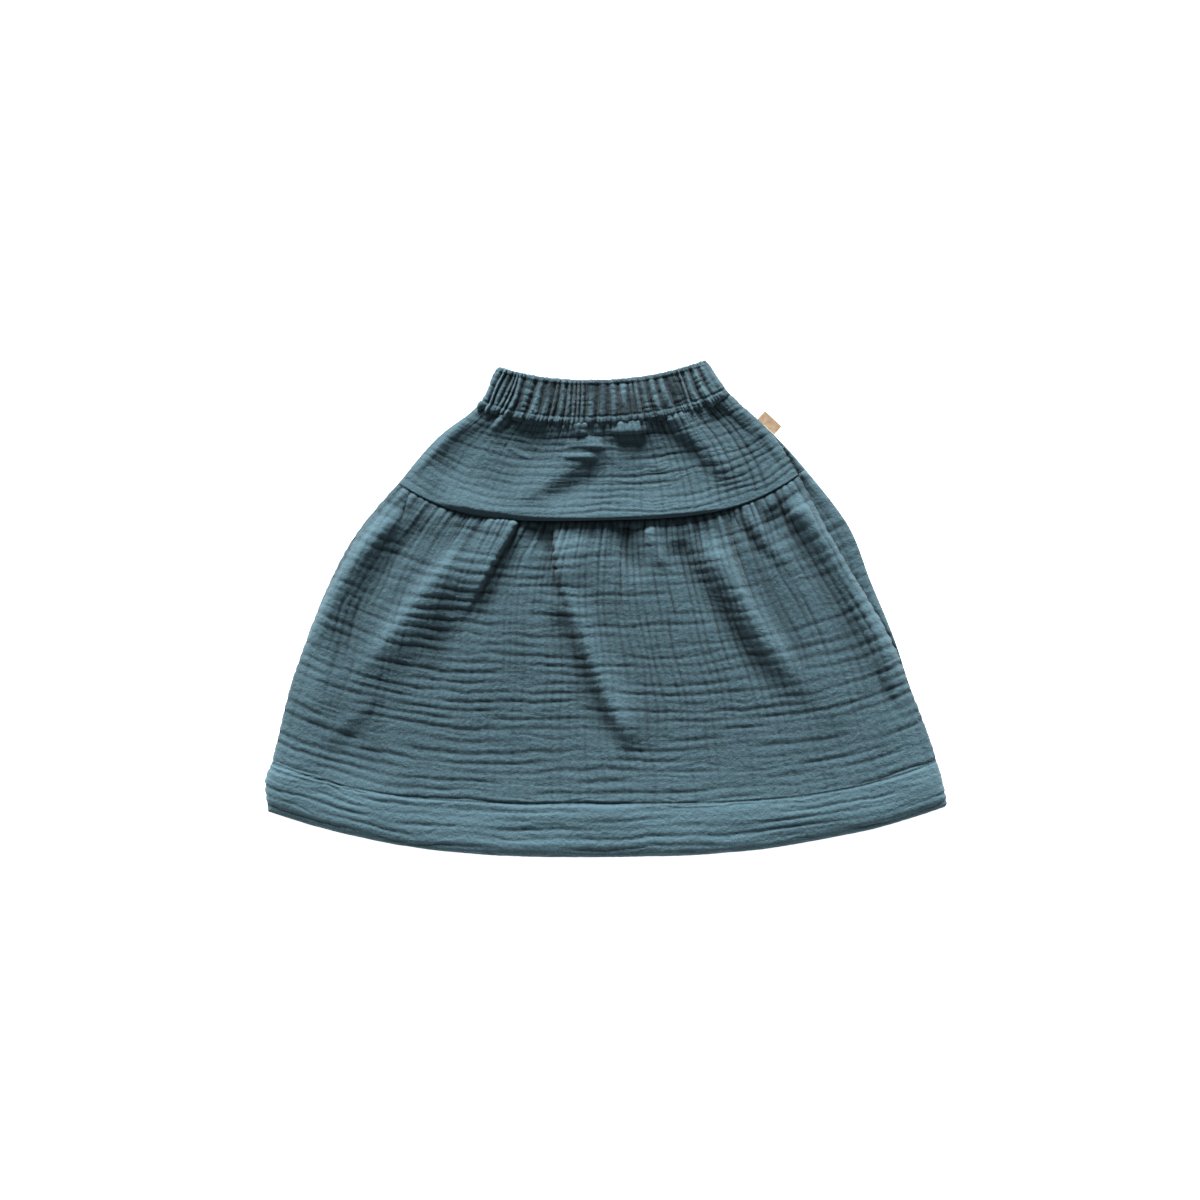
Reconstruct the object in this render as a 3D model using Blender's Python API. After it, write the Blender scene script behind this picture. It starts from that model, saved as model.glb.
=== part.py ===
"""A child's two-tier skirt in crinkled double gauze, laid flat on its back.

The plan lies in XY with the waist towards +Y, and the cloth is built up along +Z.
All sizes below are real sizes in millimetres. A point of a panel is found from two
numbers: across, which runs from 0 at the left side to 1 at the right side, and down,
the distance along the centre line from the waist's rim towards the hem.
"""

import random

import bmesh
import bpy
import numpy as np

MM = 0.001

# Walls and clearances
CLOTH = 1.5
BACK_CLOTH = 2.0
HEM_CLOTH = 2.8
BAND_BACK = 4.0
GAP = 0.3
FLOOR = BACK_CLOTH + GAP
BAND_FLOOR = BAND_BACK + GAP

# Seams, as distances down the centre line
WAIST_RIM = 0.0
WAIST_SEAM = 37.5
TIER_SEAM = 120.5
HEM_LINE = 363.5
HEM_FOLD = 409.5

# One row for each section across the skirt: the front's two side points, the back's
# right side point, how far the middle sags below the chord, how square that sag is,
# and how high the front's middle lies above the surface that the skirt rests on.
SECTION_COLUMNS = ("down", "left_x", "left_y", "right_x", "right_y",
                   "back_x", "back_y", "sag", "square", "loft")
SECTIONS = {
    "waist rim": (0.0, -91.5, 207.0, 86.0, 213.0, 86.0, 213.0, 14.0, 2.2, 8.4),
    "waist seam": (37.5, -110.5, 173.0, 107.5, 183.0, 107.8, 183.0, 19.5, 2.5, 9.6),
    "yoke middle": (70.0, -141.0, 149.0, 137.5, 155.0, 138.3, 155.0, 26.5, 3.0, 6.0),
    "tier seam": (120.5, -178.0, 107.0, 166.0, 114.0, 172.0, 119.0, 35.5, 3.5, 8.4),
    "tier first": (159.0, -210.0, 69.0, 186.5, 74.5, 206.5, 74.5, 35.5, 3.5, 10.6),
    "tier second": (209.5, -237.5, 20.0, 216.5, 23.0, 228.0, 23.0, 35.5, 3.5, 10.0),
    "tier third": (258.0, -256.5, -27.0, 246.0, -27.0, 248.5, -27.0, 35.5, 3.5, 8.8),
    "tier fourth": (301.0, -271.0, -70.0, 262.5, -70.0, 262.5, -70.0, 35.5, 3.5, 8.0),
    "hem line": (363.5, -286.5, -133.0, 284.5, -132.0, 284.5, -132.0, 35.5, 3.4, 9.4),
    "hem middle": (382.0, -291.0, -149.0, 288.0, -147.5, 288.0, -147.5, 38.0, 3.0, 10.8),
    "hem fold": (409.5, -290.0, -175.0, 292.5, -170.0, 292.5, -170.0, 41.5, 2.5, 8.4),
}

# One row for each large fold: a path through three points of the plan, the height (a
# valley's is below zero), the half width on each side, and the shares of the path over
# which it rises and fades. Left and right are the viewer's for a path that runs down the
# skirt. For one that runs to the right, left is below it and right is above it.
FOLD_COLUMNS = ("x0", "y0", "x1", "y1", "x2", "y2", "height",
                "left", "right", "rise", "fade")
YOKE_FOLDS = {
    "left side ridge": (-113, 168, -145, 138, -170, 110, 5.0, 5.0, 5.0, 0.2, 0.3),
    "left side valley": (-96, 166, -124, 133, -147, 113, -6.0, 8.0, 9.0, 0.35, 0.35),
    "left first crease": (-92, 167, -97, 163, -101, 158, -3.2, 1.8, 1.8, 0.1, 0.5),
    "left short ridge": (-86, 166, -92, 158, -98, 149, 3.4, 3.2, 3.6, 0.1, 0.5),
    "left second crease": (-76, 164, -82, 158, -90, 149, -3.6, 1.8, 2.4, 0.1, 0.5),
    "upper left hollow": (-59, 161, -66, 144, -83, 124, -5.0, 14.0, 14.0, 0.5, 0.4),
    "slanting ridge": (-86, 140, -74, 133, -62, 127, 2.2, 2.6, 2.6, 0.3, 0.3),
    "slanting upper ridge": (-78, 148, -66, 142, -53, 136, 2.0, 2.6, 2.6, 0.3, 0.3),
    "main bulge": (-5, 148, -30, 121, -84, 91, 5.4, 15.0, 9.0, 0.15, 0.2),
    "main hollow": (8, 128, -14, 110, -54, 90, -2.0, 6.0, 8.0, 0.15, 0.15),
    "upper puff": (-24, 171, -22, 157, -20, 144, 5.5, 7.0, 7.0, 0.1, 0.45),
    "first stacked ridge": (-38, 137, -20, 140, 1, 136, 2.6, 2.2, 3.6, 0.3, 0.3),
    "second stacked ridge": (-41, 128, -22, 130, -1, 126, 2.4, 2.2, 3.6, 0.3, 0.3),
    "middle valley": (22, 139, 50, 131, 84, 130, -5.2, 6.0, 10.0, 0.25, 0.25),
    "seam ridge": (-150, 95, -33, 78, 130, 90, 7.0, 4.0, 20.0, 0.15, 0.15),
    "second bulge": (4, 155, 20, 152, 37, 154, 6.2, 5.0, 8.0, 0.3, 0.3),
    "third bulge": (50, 163, 60, 163, 72, 166, 3.0, 5.0, 7.0, 0.3, 0.3),
    "band hollow": (-98, 156, 0, 143, 92, 167, -1.6, 14.0, 7.0, 0.15, 0.15),
    "third valley": (36, 157, 56, 146, 86, 123, -3.4, 8.0, 8.0, 0.3, 0.4),
    "third ridge": (53, 167, 85, 138, 119, 101, 7.0, 10.0, 12.0, 0.25, 0.35),
    "right first crease": (88, 170, 104, 154, 118, 138, -2.4, 1.8, 2.0, 0.1, 0.5),
    "right hollow": (83, 180, 116, 151, 150, 115, -5.4, 10.0, 6.0, 0.3, 0.35),
    "right second crease": (98, 173, 124, 148, 146, 126, -2.2, 1.8, 2.0, 0.1, 0.5),
    "right edge ridge": (109, 183, 140, 151, 169, 115, 4.5, 6.0, 6.0, 0.15, 0.3),
}
TIER_FOLDS = {
    "left edge ridge": (-169, 87, -228, 24, -263, -65, 7.5, 8.0, 9.0, 0.15, 0.35),
    "left edge valley": (-148, 75, -204, 12, -237, -77, -4.0, 10.0, 12.0, 0.1, 0.25),
    "left side crease": (-168, 99, -173, 84, -177, 70, -3.0, 1.8, 2.2, 0.1, 0.5),
    "left ridge": (-109, 64, -165, 1, -217, -75, 11.0, 10.0, 20.0, 0.3, 0.4),
    "left inner valley": (-129, -9, -141, -42, -139, -83, -3.8, 14.0, 12.0, 0.3, 0.4),
    "lower left dimple": (-232, -104, -208, -122, -178, -126, -6.0, 24.0, 30.0, 0.35, 0.35),
    "big fold": (-77, 75, -100, 34, -130, -21, 8.0, 22.0, 2.4, 0.05, 0.5),
    "big fold hollow": (-65, 73, -91, 24, -115, -20, -2.6, 3.0, 20.0, 0.02, 0.45),
    "left centre recess": (-52, 75, -52, 62, -54, 44, -6.0, 9.0, 8.0, 0.02, 0.5),
    "centre left crease": (-44, 69, -44, 30, -36, -3, -5.4, 9.0, 1.8, 0.05, 0.4),
    "centre panel": (-39, 69, -39, 30, -24, -16, 9.0, 2.6, 28.0, 0.3, 0.6),
    "centre valley": (-42, 4, -21, -56, 12, -130, -4.8, 12.0, 8.0, 0.2, 0.2),
    "centre ridge": (-33, 24, -9, -49, 28, -128, 9.0, 8.5, 16.0, 0.25, 0.2),
    "panel right crease": (12, 75, 13, 25, 14, -24, -3.2, 1.8, 2.2, 0.06, 0.4),
    "centre right recess": (19, 71, 21, 48, 36, 19, -7.5, 9.0, 11.0, 0.02, 0.4),
    "middle ridge": (37, 69, 44, 49, 54, 29, 3.4, 5.0, 5.0, 0.1, 0.4),
    "right valley": (59, 60, 100, -6, 154, -83, -5.4, 12.0, 10.0, 0.1, 0.25),
    "right ridge": (85, 66, 126, -6, 185, -91, 11.0, 14.0, 10.0, 0.2, 0.35),
    "right crease": (106, 86, 110, 56, 126, 12, -3.4, 1.8, 2.4, 0.06, 0.4),
    "second right valley": (107, 82, 126, 57, 146, 32, -3.6, 6.0, 6.0, 0.1, 0.4),
    "second right ridge": (120, 85, 140, 56, 160, 28, 4.6, 6.0, 8.0, 0.3, 0.4),
    "far right valley": (139, 89, 193, 16, 247, -101, -6.0, 16.0, 9.0, 0.1, 0.3),
    "far right ridge": (159, 95, 217, 21, 263, -97, 9.0, 10.0, 10.0, 0.1, 0.3),
    "right edge crease": (232, -52, 244, -79, 251, -102, -3.2, 5.0, 4.0, 0.3, 0.4),
    "lower left swell": (-236, -34, -246, -70, -250, -112, 2.6, 13.0, 15.0, 0.4, 0.4),
    "lower right swell": (176, -30, 190, -70, 197, -116, 2.4, 15.0, 17.0, 0.4, 0.4),
}
PATH_STEPS = 16

# Folds narrower than this half width are widened to it, and lowered by the same share
LEAST_HALF = 6.0

# Side edges round down to the back over these distances from the outline
ROUND_SIDE = 20.0
ROUND_BAND = 5.0
ROUND_HEM = 6.0
LEAST_RISE = 1.4
SOFT_LIMIT = 2.0

# Gathering: pleats of the elastic waistband over its bulge, gathers under each seam,
# the yoke's lip over the tier seam, and the two stitched beads of the waistband
BAND_PLEATS = 30
TIER_GATHERS = 58
UNEVEN = 0.62
BAND_BULGE = 2.2
PLEAT_HEIGHT = 3.6
YOKE_GATHER_HEIGHT = 1.1
YOKE_GATHER_FADE = 11.0
TIER_GATHER_HEIGHT = 2.2
TIER_GATHER_FADE = (7.0, 30.0)
GROOVE_BAND_BACK = 1.6
GROOVE_TIER_BACK = 0.9
GROOVE_FADE = 22.0
PINCH_DEPTH = 2.4
PINCH_FADE = 7.0
PINCH_EASE = 0.8
YOKE_LIP = 1.8
YOKE_LIP_FADE = 6.0
BEAD_HEIGHT = 1.1
BEAD_HALF = 2.4
RIM_BEAD_AT = 2.4
SEAM_BEAD_AT = 34.1

# Rows of each panel, as distances below its upper seam
BAND_ROWS = (0.0, 0.7, 2.4, 4.8, 18.0, 31.4, 34.1, 37.2)
BAND_INNER_ROWS = (0.0, 18.0, 37.2)
BAND_BACK_ROWS = (0.0, 2.4, 4.8, 32.4, 37.2)
YOKE_ROWS = (0.3, 3.0, 8.0, 14.0, 21.0, 29.0, 38.0, 48.0, 58.0, 68.0, 76.0, 81.5, 82.7)
YOKE_BACK_ROWS = (0.3, 31.0, 58.0, 82.7)
TIER_GATHER_ROWS = (0.3, 1.6, 6.0, 14.0)
TIER_ROWS = (26.0, 38.0, 52.0, 68.0, 86.0, 106.0, 128.0, 152.0, 178.0, 208.0, 242.8)
TIER_BACK_GATHER_ROWS = (0.3, 7.0, 22.0)
TIER_BACK_ROWS = (60.0, 110.0, 170.0, 242.8)
HEM_ROWS = (0.3, 4.0, 22.0, 39.0, 43.0, 45.0, 46.0)
HEM_BACK_ROWS = (0.3, 18.0, 46.0)
TIER_COLUMNS = 88
BACK_COLUMNS = 36
EDGE_SHARES = (0.0024, 0.008, 0.018)
EDGE_CLEAR = 0.0216

# The small folded tab of tape at the right side seam
TAB_FROM = 61.5
TAB_TO = 78.5
TAB_WIDTH = 19.5
TAB_REACH = 9.5
TAB_GAP = 0.4
TAB_LOW = 1.2
TAB_HIGH = 2.6
TAB_STATIONS = 4

# The slope of a face is read over this distance, in millimetres, and its shading is
# broken where two triangles meet at more than this angle, in radians
SLOPE_STEP = 0.5
SHARP_ANGLE = 1.0

SKIRT_COLOUR = (0.085, 0.165, 0.205, 1.0)
TAB_COLOUR = (0.53, 0.40, 0.27, 1.0)
SKIRT_ROUGHNESS = 0.92
TAB_ROUGHNESS = 0.85


def smooth(knots, values, at):
    """A cubic curve through the values at the knots, read at each place in at."""
    knots = np.asarray(knots, dtype=float)
    values = np.asarray(values, dtype=float)
    slopes = np.gradient(values, knots)
    span = np.clip(np.searchsorted(knots, at) - 1, 0, len(knots) - 2)
    step = knots[span + 1] - knots[span]
    t = (at - knots[span]) / step
    rise = t * t * (3 - 2 * t)
    leave = t * (1 - t) ** 2
    arrive = t * t * (t - 1)
    ends = values[span] * (1 - rise) + values[span + 1] * rise
    return ends + step * (slopes[span] * leave + slopes[span + 1] * arrive)


def section(column, down):
    """A column of the section table, read at the distances in down."""
    place = SECTION_COLUMNS.index(column)
    knots = [row[0] for row in SECTIONS.values()]
    values = [row[place] for row in SECTIONS.values()]
    return smooth(knots, values, down)


def plan(across, down, back=False):
    """The flat place (x, y) of a point of the front, or of the back."""
    right_x = section("back_x" if back else "right_x", down)
    right_y = section("back_y" if back else "right_y", down)
    left_x = section("left_x", down)
    left_y = section("left_y", down)
    bow = 1 - np.abs(2 * across - 1) ** section("square", down)
    x = left_x + (right_x - left_x) * across
    y = left_y + (right_y - left_y) * across - section("sag", down) * bow
    return x, y


def row_width(down):
    return section("right_x", down) - section("left_x", down)


def rounding(distance, reach):
    """0 at an edge and 1 beyond reach, along a quarter of an ellipse."""
    inward = np.clip(distance / reach, 0.0, 1.0)
    return np.sqrt(1 - (1 - inward) ** 2)


def ease(t):
    t = np.clip(t, 0.0, 1.0)
    return t * t * (3 - 2 * t)


def fold_path(fold):
    """Points along the curve through the fold's three plan points."""
    t = np.linspace(0.0, 1.0, PATH_STEPS + 1)
    middle_x = 2 * fold["x1"] - (fold["x0"] + fold["x2"]) / 2
    middle_y = 2 * fold["y1"] - (fold["y0"] + fold["y2"]) / 2
    x = (1 - t) ** 2 * fold["x0"] + 2 * t * (1 - t) * middle_x + t * t * fold["x2"]
    y = (1 - t) ** 2 * fold["y0"] + 2 * t * (1 - t) * middle_y + t * t * fold["y2"]
    return x, y


def fold_height(fold, x, y):
    """The height that one fold adds at each plan point."""
    path_x, path_y = fold_path(fold)
    nearest = np.full(x.shape, 1e9)
    along = np.zeros(x.shape)
    side = np.zeros(x.shape)
    for i in range(PATH_STEPS):
        run_x = path_x[i + 1] - path_x[i]
        run_y = path_y[i + 1] - path_y[i]
        share = ((x - path_x[i]) * run_x + (y - path_y[i]) * run_y) / (run_x ** 2 + run_y ** 2)
        share = np.clip(share, 0.0, 1.0)
        away = np.hypot(x - path_x[i] - share * run_x, y - path_y[i] - share * run_y)
        closer = away < nearest
        turn = run_x * (y - path_y[i]) - run_y * (x - path_x[i])
        side = np.where(closer, turn, side)
        nearest = np.where(closer, away, nearest)
        along = np.where(closer, (i + share) / PATH_STEPS, along)
    width = np.maximum(np.where(side > 0, fold["right"], fold["left"]), LEAST_HALF)
    ends = ease(along / fold["rise"]) * ease((1 - along) / fold["fade"])
    height = fold["height"] * min(1.0, max(fold["left"], fold["right"]) / LEAST_HALF)
    return height * ends * np.exp(-(nearest / width) ** 2)


def folds_at(table, x, y):
    """The summed height of a table's folds."""
    height = np.zeros(x.shape)
    for row in table.values():
        height += fold_height(dict(zip(FOLD_COLUMNS, row)), x, y)
    return height


class Gathering:
    """Uneven gathers side by side along a seam, with a crest between two troughs."""

    def __init__(self, count, seed, fades=(1.0, 1.0)):
        chance = random.Random(seed)
        pitches = [1 + UNEVEN * (2 * chance.random() - 1) for _ in range(count)]
        ends = np.concatenate(([0.0], np.cumsum(pitches)))
        ends /= ends[-1]
        crests = (ends[:-1] + ends[1:]) / 2
        self.crests = crests
        self.columns = np.sort(np.concatenate((ends, crests)))
        self.sizes = np.array([1 - 0.45 * chance.random() for _ in range(count)])
        self.fades = np.array([fades[0] + (fades[1] - fades[0]) * chance.random() ** 2
                               for _ in range(count)])

    def wave(self, across):
        """0 in a trough and up to 1 on a crest."""
        turn = np.interp(across, self.columns, np.arange(len(self.columns)))
        return (0.5 - 0.5 * np.cos(np.pi * turn)) * np.interp(across, self.crests, self.sizes)

    def fade(self, across):
        return np.interp(across, self.crests, self.fades)


BAND = Gathering(BAND_PLEATS, seed=4)
BAND_BEHIND = Gathering(BAND_PLEATS, seed=9)
TIER = Gathering(TIER_GATHERS, seed=21, fades=TIER_GATHER_FADE)
TIER_BEHIND = Gathering(TIER_GATHERS, seed=33)


def with_edges(columns):
    """Adds close columns at both sides, where the cloth rounds down."""
    inner = columns[(columns > EDGE_CLEAR) & (columns < 1 - EDGE_CLEAR)]
    left = np.concatenate(([0.0], EDGE_SHARES))
    return np.concatenate((left, inner, (1 - left)[::-1]))


def front_height(across, down, folds, round_reach, floor):
    """Height of the front's outer face with its large folds."""
    x, y = plan(across, down)
    sides = rounding(across * row_width(down), round_reach)
    sides = sides * rounding((1 - across) * row_width(down), round_reach)
    rise = section("loft", down) - floor - LEAST_RISE + folds_at(folds, x, y)
    rise = 0.5 * (rise + np.sqrt(rise ** 2 + SOFT_LIMIT ** 2))
    return floor + sides * (LEAST_RISE + rise)


def band_bead(down):
    """The raised stitched beads along the waistband's rim and its lower seam."""
    rim = np.exp(-((down - RIM_BEAD_AT) / BEAD_HALF) ** 2)
    lower = np.exp(-((down - SEAM_BEAD_AT) / BEAD_HALF) ** 2)
    return BEAD_HEIGHT * (rim + lower)


def band_surface(across, down):
    height = front_height(across, down, {}, ROUND_BAND, BAND_FLOOR)
    sides = rounding(across * row_width(down), ROUND_SIDE)
    sides = sides * rounding((1 - across) * row_width(down), ROUND_SIDE)
    height = height + BAND_BULGE * sides * np.sin(np.pi * np.clip(down / WAIST_SEAM, 0.0, 1.0))
    x, y = plan(across, down)
    return np.stack((x, y, height), axis=-1)


def yoke_surface(across, down):
    height = front_height(across, down, YOKE_FOLDS, ROUND_SIDE, FLOOR)
    x, y = plan(across, down)
    return np.stack((x, y, height), axis=-1)


def pinch_share(across):
    """How strongly the seam pulls the tier in: most under its middle."""
    return 1 - PINCH_EASE * (2 * across - 1) ** 2


def tier_surface(across, down):
    height = front_height(across, down, TIER_FOLDS, ROUND_SIDE, FLOOR)
    pinch = PINCH_DEPTH * pinch_share(across) * np.exp(-(down - TIER_SEAM) / PINCH_FADE)
    height = np.maximum(height - pinch, np.minimum(height, FLOOR + LEAST_RISE))
    x, y = plan(across, down)
    return np.stack((x, y, height), axis=-1)


def hem_surface(across, down):
    height = front_height(across, down, {}, ROUND_SIDE, FLOOR)
    edge = rounding(HEM_FOLD - down, ROUND_HEM)
    x, y = plan(across, down)
    return np.stack((x, y, FLOOR + (height - FLOOR) * edge), axis=-1)


def band_relief(across, down):
    pleats = PLEAT_HEIGHT * BAND.wave(across)
    return (pleats + band_bead(down)) * rounding(down, RIM_BEAD_AT)


def yoke_relief(across, down):
    small = YOKE_GATHER_HEIGHT * BAND.wave(across)
    lip = YOKE_LIP * np.exp(-(TIER_SEAM - down) / YOKE_LIP_FADE)
    return small * np.exp(-(down - WAIST_SEAM) / YOKE_GATHER_FADE) + lip


def tier_relief(across, down):
    depth = down - TIER_SEAM
    return TIER_GATHER_HEIGHT * TIER.wave(across) * np.exp(-depth / TIER.fade(across))


def no_relief(across, down):
    return np.zeros(np.broadcast(across, down).shape)


def inward_offset(surface, across, down, wall, floor, seam_row):
    """The inner face's points: the outer ones moved in by the wall, above the floor."""
    step_across = SLOPE_STEP / row_width(down)
    left = np.clip(across - step_across, 0.0, 1.0)
    right = np.clip(across + step_across, 0.0, 1.0)
    along = surface(right, down) - surface(left, down)
    below = np.minimum(down + SLOPE_STEP, HEM_FOLD)
    above = np.maximum(down - SLOPE_STEP, WAIST_RIM)
    fall = surface(across, above) - surface(across, below)
    normal = np.cross(along, fall)
    normal /= np.linalg.norm(normal, axis=-1, keepdims=True)
    offset = -wall * normal
    if seam_row:
        flat = along[..., :2] / np.linalg.norm(along[..., :2], axis=-1, keepdims=True)
        offset[..., :2] = flat * np.sum(offset[..., :2] * flat, axis=-1, keepdims=True)
    points = surface(across, down) + offset
    points[..., 2] = np.maximum(points[..., 2], floor)
    return points


def front_rows(surface, relief, rows, wall, floor, seams):
    """Outer and inner rows of a front panel. rows holds (down, columns) pairs."""
    outer = []
    inner = []
    for place, (down, columns) in enumerate(rows):
        down = np.full(columns.shape, down)
        points = surface(columns, down)
        sides = rounding(columns * row_width(down), ROUND_BAND)
        sides = sides * rounding((1 - columns) * row_width(down), ROUND_BAND)
        points[..., 2] += relief(columns, down) * sides
        outer.append((columns, points))
        last = place == len(rows) - 1
        seam_row = (place == 0 and seams[0]) or (last and seams[1])
        under = inward_offset(surface, columns, down, wall, floor, seam_row)
        inner.append((columns, under))
    return outer, inner


def back_rows(rows, wall, groove):
    """Lower and upper rows of a back panel: its underside lies on the surface."""
    lower = []
    upper = []
    for down, columns in rows:
        down = np.full(columns.shape, down)
        x, y = plan(columns, down, back=True)
        sides = rounding(columns * row_width(down), ROUND_BAND)
        sides = sides * rounding((1 - columns) * row_width(down), ROUND_BAND)
        lower.append((columns, np.stack((x, y, groove(columns, down) * sides), axis=-1)))
        upper.append((columns, np.stack((x, y, np.full(x.shape, wall)), axis=-1)))
    return lower, upper


def zip_rows(mesh, first, second):
    """Fills the strip between two rows of (share, vertex) pairs with triangles."""
    i = 0
    j = 0
    while i < len(first) - 1 or j < len(second) - 1:
        next_first = first[i + 1][0] if i < len(first) - 1 else 2.0
        next_second = second[j + 1][0] if j < len(second) - 1 else 2.0
        if next_first <= next_second:
            corners = (first[i][1], second[j][1], first[i + 1][1])
            i += 1
        else:
            corners = (first[i][1], second[j][1], second[j + 1][1])
            j += 1
        mesh.faces.new(corners)


def panel_object(name, faces_a, faces_b, material, parent):
    """Joins two faces' rows, edge to edge, into one closed wall."""
    mesh = bmesh.new()
    sheets = []
    for rows in (faces_a, faces_b):
        sheet = []
        for columns, points in rows:
            corners = [mesh.verts.new(tuple(point * MM)) for point in points]
            sheet.append(list(zip(columns, corners)))
        sheets.append(sheet)
        for upper, lower in zip(sheet[:-1], sheet[1:]):
            zip_rows(mesh, upper, lower)
    first, second = sheets
    zip_rows(mesh, first[0], second[0])
    zip_rows(mesh, first[-1], second[-1])
    for side in (0, -1):
        first_side = side_column(first, side)
        second_side = side_column(second, side)
        zip_rows(mesh, first_side, second_side)
    return finish_object(name, mesh, material, parent)


def side_column(sheet, side):
    """A sheet's side points, each with its share of the way down."""
    count = len(sheet) - 1
    return [(place / count, row[side][1]) for place, row in enumerate(sheet)]


def finish_object(name, mesh, material, parent):
    bmesh.ops.recalc_face_normals(mesh, faces=mesh.faces)
    data = bpy.data.meshes.new(name)
    mesh.to_mesh(data)
    mesh.free()
    data.materials.append(material)
    data.shade_smooth()
    data.set_sharp_from_angle(angle=SHARP_ANGLE)
    piece = bpy.data.objects.new(name, data)
    bpy.context.scene.collection.objects.link(piece)
    piece.parent = parent
    return piece


def rows_of(start, distances, columns):
    return [(start + distance, columns) for distance in distances]


def make_waistband(material, parent):
    """The elastic casing: front and back bands, ruched into upright pleats."""
    pleats = with_edges(BAND.columns)
    outer, _ = front_rows(band_surface, band_relief, rows_of(WAIST_RIM, BAND_ROWS, pleats),
                          CLOTH, BAND_FLOOR, (True, True))
    plain = np.linspace(0.0, 1.0, BACK_COLUMNS)
    inner = []
    for down, columns in rows_of(WAIST_RIM, BAND_INNER_ROWS, plain):
        x, y = plan(columns, np.full(columns.shape, down))
        inner.append((columns, np.stack((x, y, np.full(x.shape, BAND_FLOOR)), axis=-1)))
    lift_edges(outer, BAND_FLOOR + LEAST_RISE)
    panel_object("waistband_front", outer, inner, material, parent)

    behind = with_edges(BAND_BEHIND.columns)
    lower, upper = back_rows(rows_of(WAIST_RIM, BAND_BACK_ROWS, behind), BAND_BACK,
                             lambda across, down: GROOVE_BAND_BACK * BAND_BEHIND.wave(across))
    panel_object("waistband_back", lower, upper, material, parent)


def lift_edges(rows, least):
    """Keeps a band's side ends at least this high, so that its wall stays thick."""
    for _, points in rows:
        points[..., 2] = np.maximum(points[..., 2], least)


def make_yoke(material, parent):
    """The smooth upper tier, front and back."""
    pleats = with_edges(BAND.columns)
    gathers = with_edges(TIER.columns)
    rows = rows_of(WAIST_SEAM, YOKE_ROWS[:-1], pleats) + [(WAIST_SEAM + YOKE_ROWS[-1], gathers)]
    outer, inner = front_rows(yoke_surface, yoke_relief, rows, CLOTH, FLOOR, (True, True))
    panel_object("yoke_front", outer, inner, material, parent)

    plain = np.linspace(0.0, 1.0, BACK_COLUMNS)
    behind = with_edges(TIER_BEHIND.columns)
    rows = [(WAIST_SEAM + YOKE_BACK_ROWS[0], with_edges(BAND_BEHIND.columns))]
    rows += rows_of(WAIST_SEAM, YOKE_BACK_ROWS[1:-1], plain)
    rows += [(WAIST_SEAM + YOKE_BACK_ROWS[-1], behind)]
    lower, upper = back_rows(rows, BACK_CLOTH, no_relief)
    panel_object("yoke_back", lower, upper, material, parent)


def tier_groove(across, down):
    depth = down - TIER_SEAM
    return GROOVE_TIER_BACK * TIER_BEHIND.wave(across) * ease(1 - depth / GROOVE_FADE)


def make_tier(material, parent):
    """The gathered lower tier, front and back."""
    gathers = with_edges(TIER.columns)
    columns = with_edges(np.linspace(0.0, 1.0, TIER_COLUMNS))
    rows = rows_of(TIER_SEAM, TIER_GATHER_ROWS, gathers) + rows_of(TIER_SEAM, TIER_ROWS, columns)
    outer, inner = front_rows(tier_surface, tier_relief, rows, CLOTH, FLOOR, (True, True))
    panel_object("tier_front", outer, inner, material, parent)

    behind = with_edges(TIER_BEHIND.columns)
    plain = np.linspace(0.0, 1.0, BACK_COLUMNS)
    rows = rows_of(TIER_SEAM, TIER_BACK_GATHER_ROWS, behind)
    rows += rows_of(TIER_SEAM, TIER_BACK_ROWS, plain)
    lower, upper = back_rows(rows, BACK_CLOTH, tier_groove)
    panel_object("tier_back", lower, upper, material, parent)


def make_hem(material, parent):
    """The doubled band where the lower tier's edge is turned up and stitched."""
    columns = with_edges(np.linspace(0.0, 1.0, TIER_COLUMNS))
    rows = rows_of(HEM_LINE, HEM_ROWS, columns)
    outer, inner = front_rows(hem_surface, no_relief, rows, HEM_CLOTH, FLOOR, (True, False))
    panel_object("hem_front", outer, inner, material, parent)

    plain = np.linspace(0.0, 1.0, BACK_COLUMNS)
    lower, upper = back_rows(rows_of(HEM_LINE, HEM_BACK_ROWS, plain), BACK_CLOTH, no_relief)
    panel_object("hem_back", lower, upper, material, parent)


def make_tab(material, parent):
    """A folded tab of plain tape that stands out of the right side seam."""
    down = np.linspace(TAB_FROM, TAB_TO, TAB_STATIONS)
    x, y = plan(np.ones(down.shape), down, back=True)
    run = np.array((x[-1] - x[0], y[-1] - y[0]))
    run /= np.linalg.norm(run)
    out = np.array((-run[1], run[0]))
    near = np.stack((x, y), axis=-1) + TAB_GAP * out
    far = near[0] + np.outer(np.linspace(0.0, TAB_WIDTH, TAB_STATIONS), run)
    far = far + TAB_REACH * out
    shares = np.linspace(0.0, 1.0, TAB_STATIONS)
    sheets = []
    for level in (TAB_LOW, TAB_HIGH):
        level = np.full((TAB_STATIONS, 1), level)
        rows = [(shares, np.hstack((edge, level))) for edge in (near, far)]
        sheets.append(rows)
    panel_object("label_tab", sheets[0], sheets[1], material, parent)


def cloth_material(name, colour, roughness):
    material = bpy.data.materials.new(name)
    material.use_nodes = True
    shader = material.node_tree.nodes["Principled BSDF"]
    shader.inputs["Base Color"].default_value = colour
    shader.inputs["Roughness"].default_value = roughness
    shader.inputs["Metallic"].default_value = 0.0
    return material


def centre_on_origin(parent):
    """Moves the parent so that the whole skirt's plan is centred on the origin."""
    corners = [vertex.co for piece in parent.children for vertex in piece.data.vertices]
    for axis in (0, 1):
        low = min(corner[axis] for corner in corners)
        high = max(corner[axis] for corner in corners)
        parent.location[axis] = -(low + high) / 2


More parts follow.
